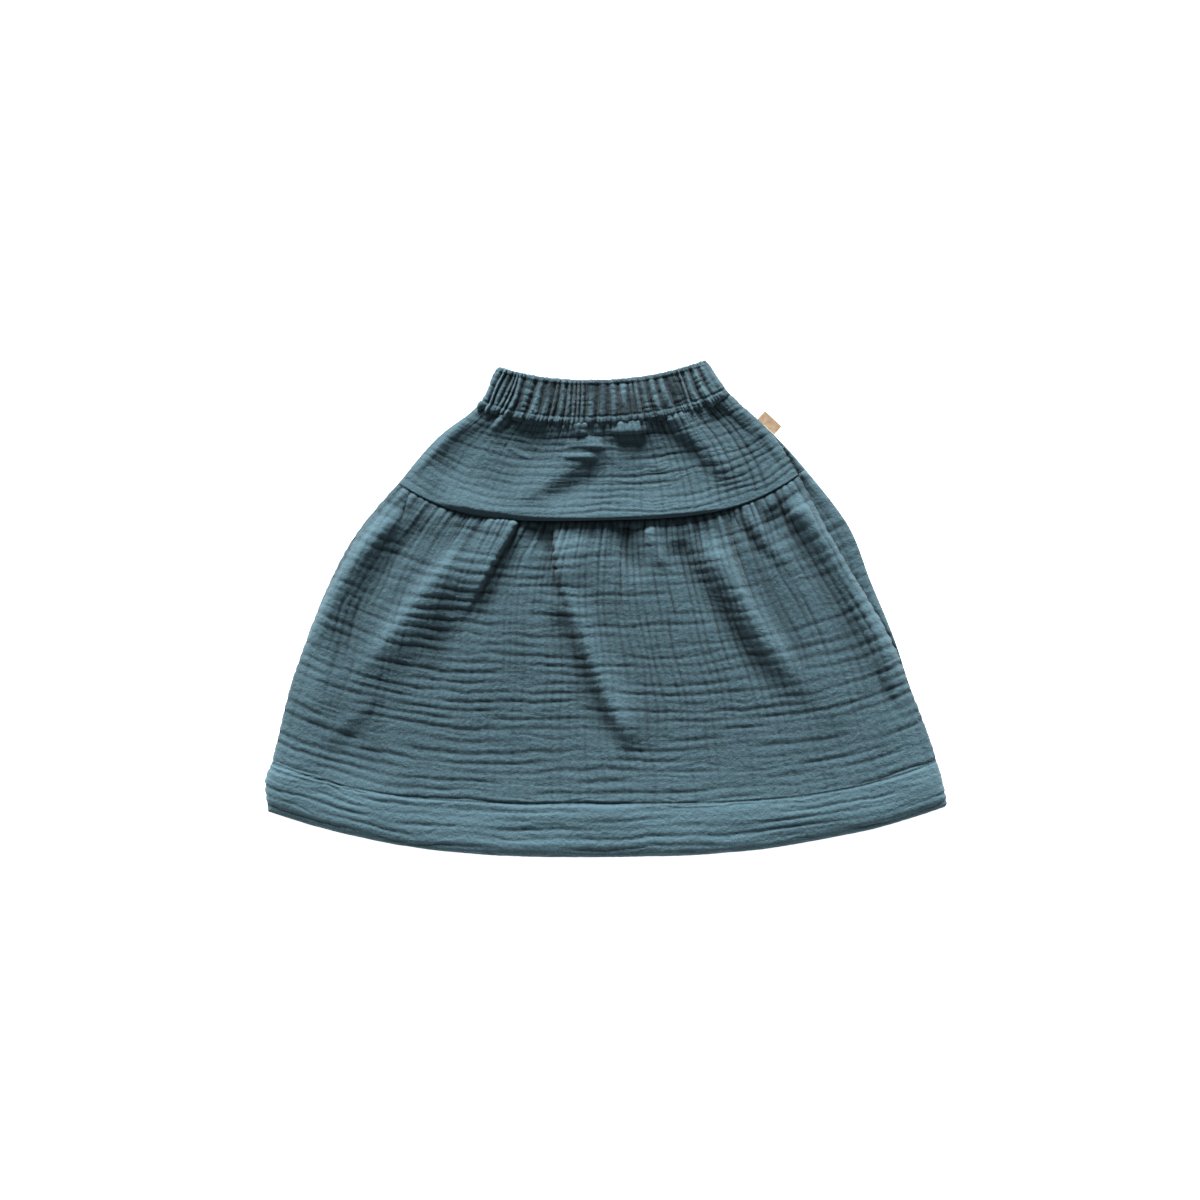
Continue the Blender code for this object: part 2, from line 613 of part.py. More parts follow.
def main():
    for leftover in list(bpy.data.objects):
        bpy.data.objects.remove(leftover, do_unlink=True)
    parent = bpy.data.objects.new("skirt", None)
    bpy.context.scene.collection.objects.link(parent)
    gauze = cloth_material("double gauze", SKIRT_COLOUR, SKIRT_ROUGHNESS)
    tape = cloth_material("tab tape", TAB_COLOUR, TAB_ROUGHNESS)
    make_waistband(gauze, parent)
    make_yoke(gauze, parent)
    make_tier(gauze, parent)
    make_hem(gauze, parent)
    make_tab(tape, parent)
    centre_on_origin(parent)


main()
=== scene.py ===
"""Looks of a child's tiered double-gauze skirt, laid flat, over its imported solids.

All plan sizes are in millimetres, as in the part. A point of a panel is found from two
numbers: across, from 0 at the left side to 1 at the right side, and down, the distance
along the centre line from the waist's rim towards the hem. Each panel is a thin closed
shell on its solid's form, with the crinkle of the gauze raised along its normals.
"""
import math
import random

import bmesh
import bpy
import numpy as np
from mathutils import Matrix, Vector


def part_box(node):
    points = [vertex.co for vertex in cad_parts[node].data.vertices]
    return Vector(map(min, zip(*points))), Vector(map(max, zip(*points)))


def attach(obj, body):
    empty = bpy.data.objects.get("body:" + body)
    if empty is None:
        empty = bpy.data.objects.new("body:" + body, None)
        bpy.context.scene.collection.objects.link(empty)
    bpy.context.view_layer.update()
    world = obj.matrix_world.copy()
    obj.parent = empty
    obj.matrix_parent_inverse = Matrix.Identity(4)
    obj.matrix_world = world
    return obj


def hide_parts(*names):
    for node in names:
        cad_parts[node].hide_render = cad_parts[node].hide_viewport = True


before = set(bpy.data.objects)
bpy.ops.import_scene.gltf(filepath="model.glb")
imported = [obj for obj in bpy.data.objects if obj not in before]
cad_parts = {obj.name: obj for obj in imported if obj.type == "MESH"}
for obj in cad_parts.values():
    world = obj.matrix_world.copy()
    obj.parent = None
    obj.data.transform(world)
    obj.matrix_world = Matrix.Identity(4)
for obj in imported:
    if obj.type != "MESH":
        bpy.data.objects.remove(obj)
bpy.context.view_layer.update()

MM = 0.001

# Walls and clearances
CLOTH = 1.2
BACK_CLOTH = 2.0
BAND_BACK = 4.0
GAP = 0.3
FLOOR = BACK_CLOTH + GAP
BAND_FLOOR = BAND_BACK + GAP

# Seams, as distances down the centre line
WAIST_RIM = 0.0
WAIST_SEAM = 37.5
TIER_SEAM = 120.5
HEM_LINE = 363.5
HEM_FOLD = 409.5

# One row for each section across the skirt, as in the part
SECTION_COLUMNS = ("down", "left_x", "left_y", "right_x", "right_y",
                   "back_x", "back_y", "sag", "square", "loft")
SECTIONS = {
    "waist rim": (0.0, -91.5, 207.0, 86.0, 213.0, 86.0, 213.0, 14.0, 2.2, 8.4),
    "waist seam": (37.5, -110.5, 173.0, 107.5, 183.0, 107.8, 183.0, 19.5, 2.5, 9.6),
    "yoke middle": (70.0, -141.0, 149.0, 137.5, 155.0, 138.3, 155.0, 26.5, 3.0, 6.0),
    "tier seam": (120.5, -178.0, 107.0, 166.0, 114.0, 172.0, 119.0, 35.5, 3.5, 8.4),
    "tier first": (159.0, -210.0, 69.0, 186.5, 74.5, 206.5, 74.5, 35.5, 3.5, 10.6),
    "tier second": (209.5, -237.5, 20.0, 216.5, 23.0, 228.0, 23.0, 35.5, 3.5, 10.0),
    "tier third": (258.0, -256.5, -27.0, 246.0, -27.0, 248.5, -27.0, 35.5, 3.5, 8.8),
    "tier fourth": (301.0, -271.0, -70.0, 262.5, -70.0, 262.5, -70.0, 35.5, 3.5, 8.0),
    "hem line": (363.5, -286.5, -133.0, 284.5, -132.0, 284.5, -132.0, 35.5, 3.4, 9.4),
    "hem middle": (382.0, -291.0, -149.0, 288.0, -147.5, 288.0, -147.5, 38.0, 3.0, 10.8),
    "hem fold": (409.5, -290.0, -175.0, 292.5, -170.0, 292.5, -170.0, 41.5, 2.5, 8.4),
}

# One row for each large fold, as in the part: a path through three plan points, the
# height, the half width on each side, and the shares of the path over which it rises
# and fades. Left and right are the viewer's for a path that runs down the skirt. For
# one that runs to the right, left is below it and right is above it.
FOLD_COLUMNS = ("x0", "y0", "x1", "y1", "x2", "y2", "height",
                "left", "right", "rise", "fade")
YOKE_FOLDS = {
    "left side ridge": (-113, 168, -145, 138, -170, 110, 5.0, 5.0, 5.0, 0.2, 0.3),
    "left side valley": (-96, 166, -124, 133, -147, 113, -6.0, 8.0, 9.0, 0.35, 0.35),
    "left first crease": (-92, 167, -97, 163, -101, 158, -3.2, 1.8, 1.8, 0.1, 0.5),
    "left short ridge": (-86, 166, -92, 158, -98, 149, 3.4, 3.2, 3.6, 0.1, 0.5),
    "left second crease": (-76, 164, -82, 158, -90, 149, -3.6, 1.8, 2.4, 0.1, 0.5),
    "upper left hollow": (-59, 161, -66, 144, -83, 124, -5.0, 14.0, 14.0, 0.5, 0.4),
    "slanting ridge": (-86, 140, -74, 133, -62, 127, 2.2, 2.6, 2.6, 0.3, 0.3),
    "slanting upper ridge": (-78, 148, -66, 142, -53, 136, 2.0, 2.6, 2.6, 0.3, 0.3),
    "main bulge": (-5, 148, -30, 121, -84, 91, 5.4, 15.0, 9.0, 0.15, 0.2),
    "main hollow": (8, 128, -14, 110, -54, 90, -2.0, 6.0, 8.0, 0.15, 0.15),
    "upper puff": (-24, 171, -22, 157, -20, 144, 5.5, 7.0, 7.0, 0.1, 0.45),
    "first stacked ridge": (-38, 137, -20, 140, 1, 136, 2.6, 2.2, 3.6, 0.3, 0.3),
    "second stacked ridge": (-41, 128, -22, 130, -1, 126, 2.4, 2.2, 3.6, 0.3, 0.3),
    "middle valley": (22, 139, 50, 131, 84, 130, -5.2, 6.0, 10.0, 0.25, 0.25),
    "seam ridge": (-150, 95, -33, 78, 130, 90, 7.0, 4.0, 20.0, 0.15, 0.15),
    "second bulge": (4, 155, 20, 152, 37, 154, 6.2, 5.0, 8.0, 0.3, 0.3),
    "third bulge": (50, 163, 60, 163, 72, 166, 3.0, 5.0, 7.0, 0.3, 0.3),
    "band hollow": (-98, 156, 0, 143, 92, 167, -1.6, 14.0, 7.0, 0.15, 0.15),
    "third valley": (36, 157, 56, 146, 86, 123, -3.4, 8.0, 8.0, 0.3, 0.4),
    "third ridge": (53, 167, 85, 138, 119, 101, 7.0, 10.0, 12.0, 0.25, 0.35),
    "right first crease": (88, 170, 104, 154, 118, 138, -2.4, 1.8, 2.0, 0.1, 0.5),
    "right hollow": (83, 180, 116, 151, 150, 115, -5.4, 10.0, 6.0, 0.3, 0.35),
    "right second crease": (98, 173, 124, 148, 146, 126, -2.2, 1.8, 2.0, 0.1, 0.5),
    "right edge ridge": (109, 183, 140, 151, 169, 115, 4.5, 6.0, 6.0, 0.15, 0.3),
}
TIER_FOLDS = {
    "left edge ridge": (-169, 87, -228, 24, -263, -65, 7.5, 8.0, 9.0, 0.15, 0.35),
    "left edge valley": (-148, 75, -204, 12, -237, -77, -4.0, 10.0, 12.0, 0.1, 0.25),
    "left side crease": (-168, 99, -173, 84, -177, 70, -3.0, 1.8, 2.2, 0.1, 0.5),
    "left ridge": (-109, 64, -165, 1, -217, -75, 11.0, 10.0, 20.0, 0.3, 0.4),
    "left inner valley": (-129, -9, -141, -42, -139, -83, -3.8, 14.0, 12.0, 0.3, 0.4),
    "lower left dimple": (-232, -104, -208, -122, -178, -126, -6.0, 24.0, 30.0, 0.35, 0.35),
    "big fold": (-77, 75, -100, 34, -130, -21, 8.0, 22.0, 2.4, 0.05, 0.5),
    "big fold hollow": (-65, 73, -91, 24, -115, -20, -2.6, 3.0, 20.0, 0.02, 0.45),
    "left centre recess": (-52, 75, -52, 62, -54, 44, -6.0, 9.0, 8.0, 0.02, 0.5),
    "centre left crease": (-44, 69, -44, 30, -36, -3, -5.4, 9.0, 1.8, 0.05, 0.4),
    "centre panel": (-39, 69, -39, 30, -24, -16, 9.0, 2.6, 28.0, 0.3, 0.6),
    "centre valley": (-42, 4, -21, -56, 12, -130, -4.8, 12.0, 8.0, 0.2, 0.2),
    "centre ridge": (-33, 24, -9, -49, 28, -128, 9.0, 8.5, 16.0, 0.25, 0.2),
    "panel right crease": (12, 75, 13, 25, 14, -24, -3.2, 1.8, 2.2, 0.06, 0.4),
    "centre right recess": (19, 71, 21, 48, 36, 19, -7.5, 9.0, 11.0, 0.02, 0.4),
    "middle ridge": (37, 69, 44, 49, 54, 29, 3.4, 5.0, 5.0, 0.1, 0.4),
    "right valley": (59, 60, 100, -6, 154, -83, -5.4, 12.0, 10.0, 0.1, 0.25),
    "right ridge": (85, 66, 126, -6, 185, -91, 11.0, 14.0, 10.0, 0.2, 0.35),
    "right crease": (106, 86, 110, 56, 126, 12, -3.4, 1.8, 2.4, 0.06, 0.4),
    "second right valley": (107, 82, 126, 57, 146, 32, -3.6, 6.0, 6.0, 0.1, 0.4),
    "second right ridge": (120, 85, 140, 56, 160, 28, 4.6, 6.0, 8.0, 0.3, 0.4),
    "far right valley": (139, 89, 193, 16, 247, -101, -6.0, 16.0, 9.0, 0.1, 0.3),
    "far right ridge": (159, 95, 217, 21, 263, -97, 9.0, 10.0, 10.0, 0.1, 0.3),
    "right edge crease": (232, -52, 244, -79, 251, -102, -3.2, 5.0, 4.0, 0.3, 0.4),
    "lower left swell": (-236, -34, -246, -70, -250, -112, 2.6, 13.0, 15.0, 0.4, 0.4),
    "lower right swell": (176, -30, 190, -70, 197, -116, 2.4, 15.0, 17.0, 0.4, 0.4),
}
PATH_STEPS = 16

# Edges and seams round down over these distances, the relief keeps a least share at an
# edge, and a face keeps a least rise over its floor
ROUND_SIDE = 20.0
ROUND_BAND = 5.0
ROUND_HEM = 11.0
ROUND_SEAM = 1.5
EDGE_LEAST = 0.4
LEAST_RISE = 1.4
SOFT_LIMIT = 2.0
SEAM_DROP = 2.2

# Gathering: how far pitches, sizes and openings vary, and the counts of gathers
UNEVEN = 0.62
SIZE_SPREAD = 0.45
OPEN_LEAST = 0.4
OPEN_SPREAD = 1.1
OPEN_SUM = 1.9
BAND_PLEATS = 30
FINE_PLEATS = 52
BEAD_RUCHES = 64
TIER_GATHERS = 58
LONG_GATHERS = 25

# Waistband: its pleats, the rows across them and the plain stretch at its right end
BAND_BULGE = 2.2
BODY_RISE = 3.0
BODY_FADE = 2.5
PLEAT_HEIGHT = 5.0
PLEAT_LEAST = 0.78
PLEAT_SLANT = 0.02
SLANT_CELL = 9.0
PLEAT_PUFF = 0.5
PUFF_CELL = 9.0
FINE_PLEAT_HEIGHT = 1.6
FINE_PLEAT_LEAST = 0.7
FINE_PLEAT_FADE = 7.0
BAND_ROW_PITCH = 6.0
BAND_ROW_HEIGHT = 0.9
BAND_ROW_SWAY = 0.5
BAND_ROW_MIDDLE = 0.4
BAND_NAP = 0.4
PLAIN_END = 0.08
PLAIN_HEIGHT = 2.6
PLAIN_ROUND = 9.0
PLAIN_LEAST = 0.2

# Ruched beads at the rim and the seam, with knobs that stand out and one notch
BEAD_HEIGHT = 2.0
BEAD_HALF = 2.4
BEAD_LEAST = 0.35
RIM_BEAD_AT = 2.4
SEAM_BEAD_AT = 34.1
BEAD_GROOVE = 0.3
BEAD_GROOVE_AT = 1.15
BEAD_GROOVE_HALF = 0.9
KNOB_REACH = 1.8
KNOB_MIDDLE = 0.6
NOTCH_AT = 0.53
NOTCH_HALF = 0.012
NOTCH_DEPTH = 1.2

# Gathers under the waistband, and the yoke's lip over the tier seam
YOKE_GATHER_HEIGHT = 1.3
YOKE_GATHER_FADE = 12.0
YOKE_LIP = 1.8
YOKE_LIP_FADE = 6.0

# Short and long gathers under the tier seam, which pulls them in most in its middle
TIER_GATHER_HEIGHT = 2.2
TIER_GATHER_FADE = (7.0, 30.0)
GATHER_START = 4.0
GATHER_START_SHARE = 0.3
LONG_GATHER_HEIGHT = 2.6
LONG_GATHER_FADE = (14.0, 60.0)
LONG_GATHER_START = 5.0
PINCH_DEPTH = 2.4
PINCH_FADE = 7.0
PINCH_EASE = 0.8

# Crinkle of the double gauze: rows of creases across the cloth and columns down it
CRINKLE_LIFT = 0.9
CREASE_SPREAD = 0.9
TIER_ROW_PITCH = 8.4
YOKE_ROW_PITCH = 6.3
ROW_HEIGHT = 2.0
ROW_LENGTH = 38.0
ROW_LEAST = 0.2
ROW_MIDDLE = 0.55
ROW_SHARP = 0.7
ROW_BUNCH = 0.3
ROWS_YIELD = 0.35
FINE_ROW_SHARE = 0.6
FINE_ROW_PITCH = 0.46
FINE_ROW_WANDER = 1.4
FINE_ROW_LENGTH = 24.0
FINE_ROW_MIDDLE = 0.25
FINE_SHARP = 0.8
TIER_CELLS = 78
YOKE_CELLS = 44
COLUMN_HEIGHT = 1.5
COLUMN_LENGTH = 46.0
COLUMN_LEAST = 0.3
COLUMN_MIDDLE = 0.5
COLUMN_SHARP = 0.6
NAP_HEIGHT = 0.16

# Random fields that are added up: rows of (weight, cell_x, cell_y, seed step)
LATTICE = 128
ROW_WANDER = ((2.0, 60.0, 40.0, 0), (1.3, 20.0, 14.0, 1), (0.45, 7.0, 6.0, 9))
COLUMN_SWAY = ((0.3, 15.0, 46.0, 4), (0.25, 60.0, 30.0, 5))
CRINKLE_NAP = ((1.0, 6.1, 4.3, 7), (0.7, 3.1, 2.4, 8))
PLEAT_NAP = ((1.0, 5.0, 4.0, 0), (0.7, 2.6, 2.4, 1))

# The columns show at least this much, more near a seam and in soft regions of the plan,
# which are rows of (weight, x, y, reach_x, reach_y), and less in the tier's left part
TIER_COLUMN_LEAST = 0.4
TIER_COLUMN_FADE = 45.0
TIER_COLUMN_SPOTS = ((0.8, 160.0, 10.0, 95.0, 75.0),
                     (0.6, -225.0, 10.0, 50.0, 70.0),
                     (0.5, 50.0, -20.0, 55.0, 70.0))
LEFT_COLUMNS = 0.6
LEFT_FROM = -120.0
LEFT_WIDTH = 70.0
YOKE_COLUMN_LEAST = 0.35
YOKE_SEAM_COLUMNS = 0.4
YOKE_SEAM_FADE = 12.0
YOKE_COLUMN_SPOTS = ((0.8, 120.0, 135.0, 60.0, 50.0),)

# The crinkle is calmer beside the tier seam, in the yoke's left part and on the hem
YOKE_CALM = 0.5
YOKE_CALM_FROM = -90.0
YOKE_CALM_WIDTH = 120.0
YOKE_CALM_REACH = 8.0
TIER_CALM_REACH = 9.0
HEM_CALM = 0.1

# Hem and its stitches
HEM_EASE = 4.0
HEM_STEP = 0.4
HEM_SWELL = 1.4
HEM_GROOVE = 0.9
HEM_GROOVE_HALF = 0.9
STITCH_PITCH = 2.9
STITCH_LENGTH = 2.0
STITCH_HALF = 0.5
STITCH_RISE = 0.25
STITCH_END = 0.004
STITCH_SAMPLES = 1500

# Back panels, and the strip of them that shows beside the front's right edge
BACK_CRINKLE = 0.45
BACK_COLUMN_STRENGTH = 0.6
BACK_PLEAT_HEIGHT = 1.5
BACK_FINE_HEIGHT = 0.4
BACK_NAP = 0.15
BACK_GATHER_HEIGHT = 0.9
BACK_GROOVE = 0.6
BACK_EDGE_LIFT = 0.8
BACK_LEAST_WALL = 0.4
BACK_TOP = 0.98
STRIP_WIDTH = 2.0
STRIP_RISE = 3.4
STRIP_ROUND = 0.7
STRIP_CRINKLE = 0.9

# Tone of the cloth, which its material reads from the mesh attribute crease: painted shade in
# creases, troughs, grooves and hollows and painted highlight on crests, with random patches
# and a darker waistband and a lighter lower tier and hem
PLAIN_TONE = 0.5
DARKEST = -0.25
BRIGHTEST = 1.0
TONE_REACH = 5
# Painted highlight on crests and painted shade in hollows from the relief, and painted shade
# along the crinkle's crease lines
SMALL_PAINTED_SHADING = 0.26
LARGE_REACH = 4
LARGE_PAINTED_SHADING = 0.06
ROW_LINE = 0.9
COLUMN_LINE = 0.95
LINE_PAINTED_SHADE = 0.44
HEM_TONE = 0.4
LOW_TONE = 0.14
LOW_TONE_REACH = 70.0
# Painted shade in the troughs of gathers, pleats and beads and in the beads' grooves
YOKE_GATHER_PAINTED_SHADE = 0.7
SHORT_GATHER_PAINTED_SHADE = 0.9
SHORT_SHADE_FADE = 9.0
LONG_GATHER_PAINTED_SHADE = 0.5
PLEAT_PAINTED_SHADE = 2.6
FINE_PLEAT_PAINTED_SHADE = 0.8
BEAD_PAINTED_SHADE = 0.5
BEAD_GROOVE_PAINTED_SHADE = 0.15
BAND_PATCHES = 0.9
MOTTLE = 0.16
BAND_DARK = 0.15
BAND_TONE_REACH = 16
BAND_TONE_SHARE = 0.5
# Painted highlight and painted shade from the back panels' relief
BACK_PAINTED_SHADING = 2 * SMALL_PAINTED_SHADING / BACK_CRINKLE

# Grids of the panels, their gaps at the seams, their walls and a share past a row's end
BAND_COLUMNS = 470
YOKE_COLUMNS = 390
TIER_COLUMNS = 360
BACK_COLUMNS = 220
BAND_ROWS = 80
BAND_BACK_ROWS = 30
YOKE_BACK_ROWS = 60
TIER_BACK_ROWS = 150
SEAM_INSET = 0.1
BACK_INSET = 0.02
INNER_STEP = 5
INNER_WALL = 0.7 * CLOTH
LEAST_CLOTH = 0.5 * CLOTH
PAST_END = 2.0

# Colours, and the gauze's random tones and bumps with scales in cells to a metre
WHITE = (1.0, 1.0, 1.0, 1.0)
GAUZE_DEEP = (0.037, 0.073, 0.092, 1.0)
GAUZE_LIGHT = (0.054, 0.102, 0.125, 1.0)
# Shares of the deep and light colours for painted shade and for the brighter slubs and painted
# highlight
SHADE_SHARE = 0.3
BRIGHT_SHARE = 1.8
SHEEN_TINT = (0.62, 0.8, 0.88, 1.0)
TAPE_DEEP = (0.42, 0.28, 0.17, 1.0)
TAPE_LIGHT = (0.64, 0.47, 0.31, 1.0)
THREAD_DEEP = (0.02, 0.045, 0.06, 1.0)
THREAD_LIGHT = (0.045, 0.085, 0.105, 1.0)
CLOUD_SCALE = 38.0
SLUB_SCALE = 620.0
SLUB_TONE = 0.55
# How far the painted shade and the painted highlight go at the ends of the attribute crease
CREASE_SHADE = 0.95
CREST_PAINTED_HIGHLIGHT = 0.85
PUFF_SCALE = 330.0
THREAD_SCALE = 1150.0

# Floor, light and camera, in metres, with the width and centre of the photo's frame
FLOOR_SIZE = 8.0
FLOOR_DROP = 0.0002
FLOOR_COLOUR = (0.93, 0.93, 0.93, 1.0)
FLOOR_GLOW = 1.0
KEY_FROM = (-0.2, 1.49, 0.70)
KEY_SOFTNESS = 24.0
KEY_POWER = 7.2
WORLD_STRENGTH = 0.16
FRAME_WIDTH = 1.032
FRAME_CENTRE = (-0.0052, 0.0073)
CAMERA_HEIGHT = 6.0
CAMERA_REACH = 20.0
SENSOR = 36.0

# The part's plan is shifted so that its box is centred: the same shift is read here
# from the hem's right corner and the waistband's top.
PLAN_SHIFT = np.array((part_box("hem_front")[1][0] / MM - SECTIONS["hem fold"][3],
                       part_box("waistband_front")[1][1] / MM - SECTIONS["waist rim"][4], 0.0))


def smooth(knots, values, at):
    """A cubic curve through the values at the knots, read at each place in at."""
    knots = np.asarray(knots, dtype=float)
    values = np.asarray(values, dtype=float)
    slopes = np.gradient(values, knots)
    span = np.clip(np.searchsorted(knots, at) - 1, 0, len(knots) - 2)
    step = knots[span + 1] - knots[span]
    t = (at - knots[span]) / step
    rise = t * t * (3 - 2 * t)
    leave = t * (1 - t) ** 2
    arrive = t * t * (t - 1)
    ends = values[span] * (1 - rise) + values[span + 1] * rise
    return ends + step * (slopes[span] * leave + slopes[span + 1] * arrive)


def section(column, down):
    """A column of the section table, read at the distances in down."""
    place = SECTION_COLUMNS.index(column)
    knots = [row[0] for row in SECTIONS.values()]
    values = [row[place] for row in SECTIONS.values()]
    return smooth(knots, values, down)


def plan(across, down, back=False):
    """The flat place (x, y) of a point of the front, or of the back."""
    side = "back" if back else "right"
    right_x = section(side + "_x", down)
    right_y = section(side + "_y", down)
    left_x = section("left_x", down)
    left_y = section("left_y", down)
    bow = 1 - np.abs(2 * across - 1) ** section("square", down)
    x = left_x + (right_x - left_x) * across
    y = left_y + (right_y - left_y) * across - section("sag", down) * bow
    return x, y


def row_width(down):
    """How wide the front is at the distances in down."""
    return section("right_x", down) - section("left_x", down)


def rounding(distance, reach):
    """0 at an edge and 1 beyond reach, along a quarter of an ellipse."""
    inward = np.clip(distance / reach, 0.0, 1.0)
    return np.sqrt(1 - (1 - inward) ** 2)


def side_rounding(across, down, reach):
    """0 at both side edges and 1 farther than reach from them."""
    width = row_width(down)
    return rounding(across * width, reach) * rounding((1 - across) * width, reach)


def ease(t):
    """A smooth step from 0 to 1 while t goes from 0 to 1."""
    t = np.clip(t, 0.0, 1.0)
    return t * t * (3 - 2 * t)


def raised(least, share):
    """Least where the share is 0, and 1 where it is 1."""
    return least + (1 - least) * share


def noise(x, y, cell_x, cell_y, seed):
    """A smooth random field between -1 and 1, with cells of the given size."""
    lattice = np.random.default_rng(seed).uniform(-1.0, 1.0, (LATTICE, LATTICE))
    grid_x = x / cell_x
    grid_y = y / cell_y
    left = np.floor(grid_x).astype(int)
    low = np.floor(grid_y).astype(int)
    blend_x = ease(grid_x - left)
    blend_y = ease(grid_y - low)
    near, far = (lattice[row % LATTICE, left % LATTICE] * (1 - blend_x)
                 + lattice[row % LATTICE, (left + 1) % LATTICE] * blend_x
                 for row in (low, low + 1))
    return near * (1 - blend_y) + far * blend_y


def layered(x, y, seed, layers):
    """Random fields added up, from rows of (weight, cell_x, cell_y, seed step)."""
    total = 0.0
    for weight, cell_x, cell_y, step in layers:
        total = total + weight * noise(x, y, cell_x, cell_y, seed + step)
    return total


def fold_path(fold):
    """Points along the curve through the fold's three plan points."""
    t = np.linspace(0.0, 1.0, PATH_STEPS + 1)
    path = []
    for axis in "xy":
        first, through, last = (fold[axis + end] for end in "012")
        middle = 2 * through - (first + last) / 2
        path.append((1 - t) ** 2 * first + 2 * t * (1 - t) * middle + t * t * last)
    return path


def fold_height(fold, x, y):
    """The height that one fold adds at each plan point."""
    path_x, path_y = fold_path(fold)
    nearest = np.full(x.shape, np.inf)
    along = np.zeros(x.shape)
    side = np.zeros(x.shape)
    for i in range(PATH_STEPS):
        run_x = path_x[i + 1] - path_x[i]
        run_y = path_y[i + 1] - path_y[i]
        share = (x - path_x[i]) * run_x + (y - path_y[i]) * run_y
        share = np.clip(share / (run_x ** 2 + run_y ** 2), 0.0, 1.0)
        away = np.hypot(x - path_x[i] - share * run_x, y - path_y[i] - share * run_y)
        closer = away < nearest
        turn = run_x * (y - path_y[i]) - run_y * (x - path_x[i])
        side = np.where(closer, turn, side)
        nearest = np.where(closer, away, nearest)
        along = np.where(closer, (i + share) / PATH_STEPS, along)
    width = np.where(side > 0, fold["right"], fold["left"])
    ends = ease(along / fold["rise"]) * ease((1 - along) / fold["fade"])
    return fold["height"] * ends * np.exp(-(nearest / width) ** 2)


def folds_at(table, x, y):
    """The summed height of a table's folds."""
    height = np.zeros(x.shape)
    for row in table.values():
        height += fold_height(dict(zip(FOLD_COLUMNS, row)), x, y)
    return height


class Gathering:
    """Uneven gathers side by side along a seam, with a crest between two troughs."""

    def __init__(self, count, seed, fades=(1.0, 1.0), pillow=0.8):
        chance = random.Random(seed)
        self.pillow = pillow
        pitches = [1 + UNEVEN * (2 * chance.random() - 1) for _ in range(count)]
        ends = np.concatenate(([0.0], np.cumsum(pitches)))
        ends /= ends[-1]
        self.ends = ends
        self.crests = (ends[:-1] + ends[1:]) / 2
        self.columns = np.sort(np.concatenate((ends, self.crests)))
        self.sizes = np.array([1 - SIZE_SPREAD * chance.random() for _ in range(count)])
        self.fades = np.array([fades[0] + (fades[1] - fades[0]) * chance.random() ** 2
                               for _ in range(count)])
        self.open_top = np.array([OPEN_LEAST + OPEN_SPREAD * chance.random() for _ in ends])
        self.open_low = OPEN_SUM - self.open_top

    def wave(self, across):
        """0 in a trough and up to 1 on a crest, with narrow troughs."""
        turn = np.interp(across, self.columns, np.arange(len(self.columns)))
        pillow = np.abs(np.sin(np.pi * turn / 2)) ** self.pillow
        return pillow * np.interp(across, self.crests, self.sizes)

    def taper(self, across, share):
        """How open each trough is at a share of the way down: some close towards an end."""
        top = np.interp(across, self.ends, self.open_top)
        low = np.interp(across, self.ends, self.open_low)
        return np.clip(top + (low - top) * share, 0.0, 1.0)

    def fade(self, across):
        """How far each gather runs down the cloth."""
        return np.interp(across, self.crests, self.fades)


BAND = Gathering(BAND_PLEATS, seed=4, pillow=1.2)
BAND_BEHIND = Gathering(BAND_PLEATS, seed=9)
BAND_FINE_TOP = Gathering(FINE_PLEATS, seed=51)
BAND_FINE_LOW = Gathering(FINE_PLEATS, seed=52)
BEADS = Gathering(BEAD_RUCHES, seed=53)
TIER = Gathering(TIER_GATHERS, seed=21, fades=TIER_GATHER_FADE)
TIER_LONG = Gathering(LONG_GATHERS, seed=62, fades=LONG_GATHER_FADE)
TIER_BEHIND = Gathering(TIER_GATHERS, seed=33, fades=TIER_GATHER_FADE)


def front_height(across, down, folds, round_reach, floor):
    """Height of the front's outer face with its large folds, softly kept over the floor."""
    x, y = plan(across, down)
    rise = section("loft", down) - floor - LEAST_RISE + folds_at(folds, x, y)
    rise = 0.5 * (rise + np.sqrt(rise ** 2 + SOFT_LIMIT ** 2))
    return floor + side_rounding(across, down, round_reach) * (LEAST_RISE + rise)


def kept_up(lowered, height):
    """A lowered face, kept half a cloth over the floor where it was that high before."""
    return np.maximum(lowered, np.minimum(height, FLOOR + LEAST_CLOTH))


def crease_lines(turn, sharp):
    """1 in each crease and 0 halfway between two, for a count of creases in turn."""
    return 1 - np.abs(np.sin(np.pi * turn)) ** sharp


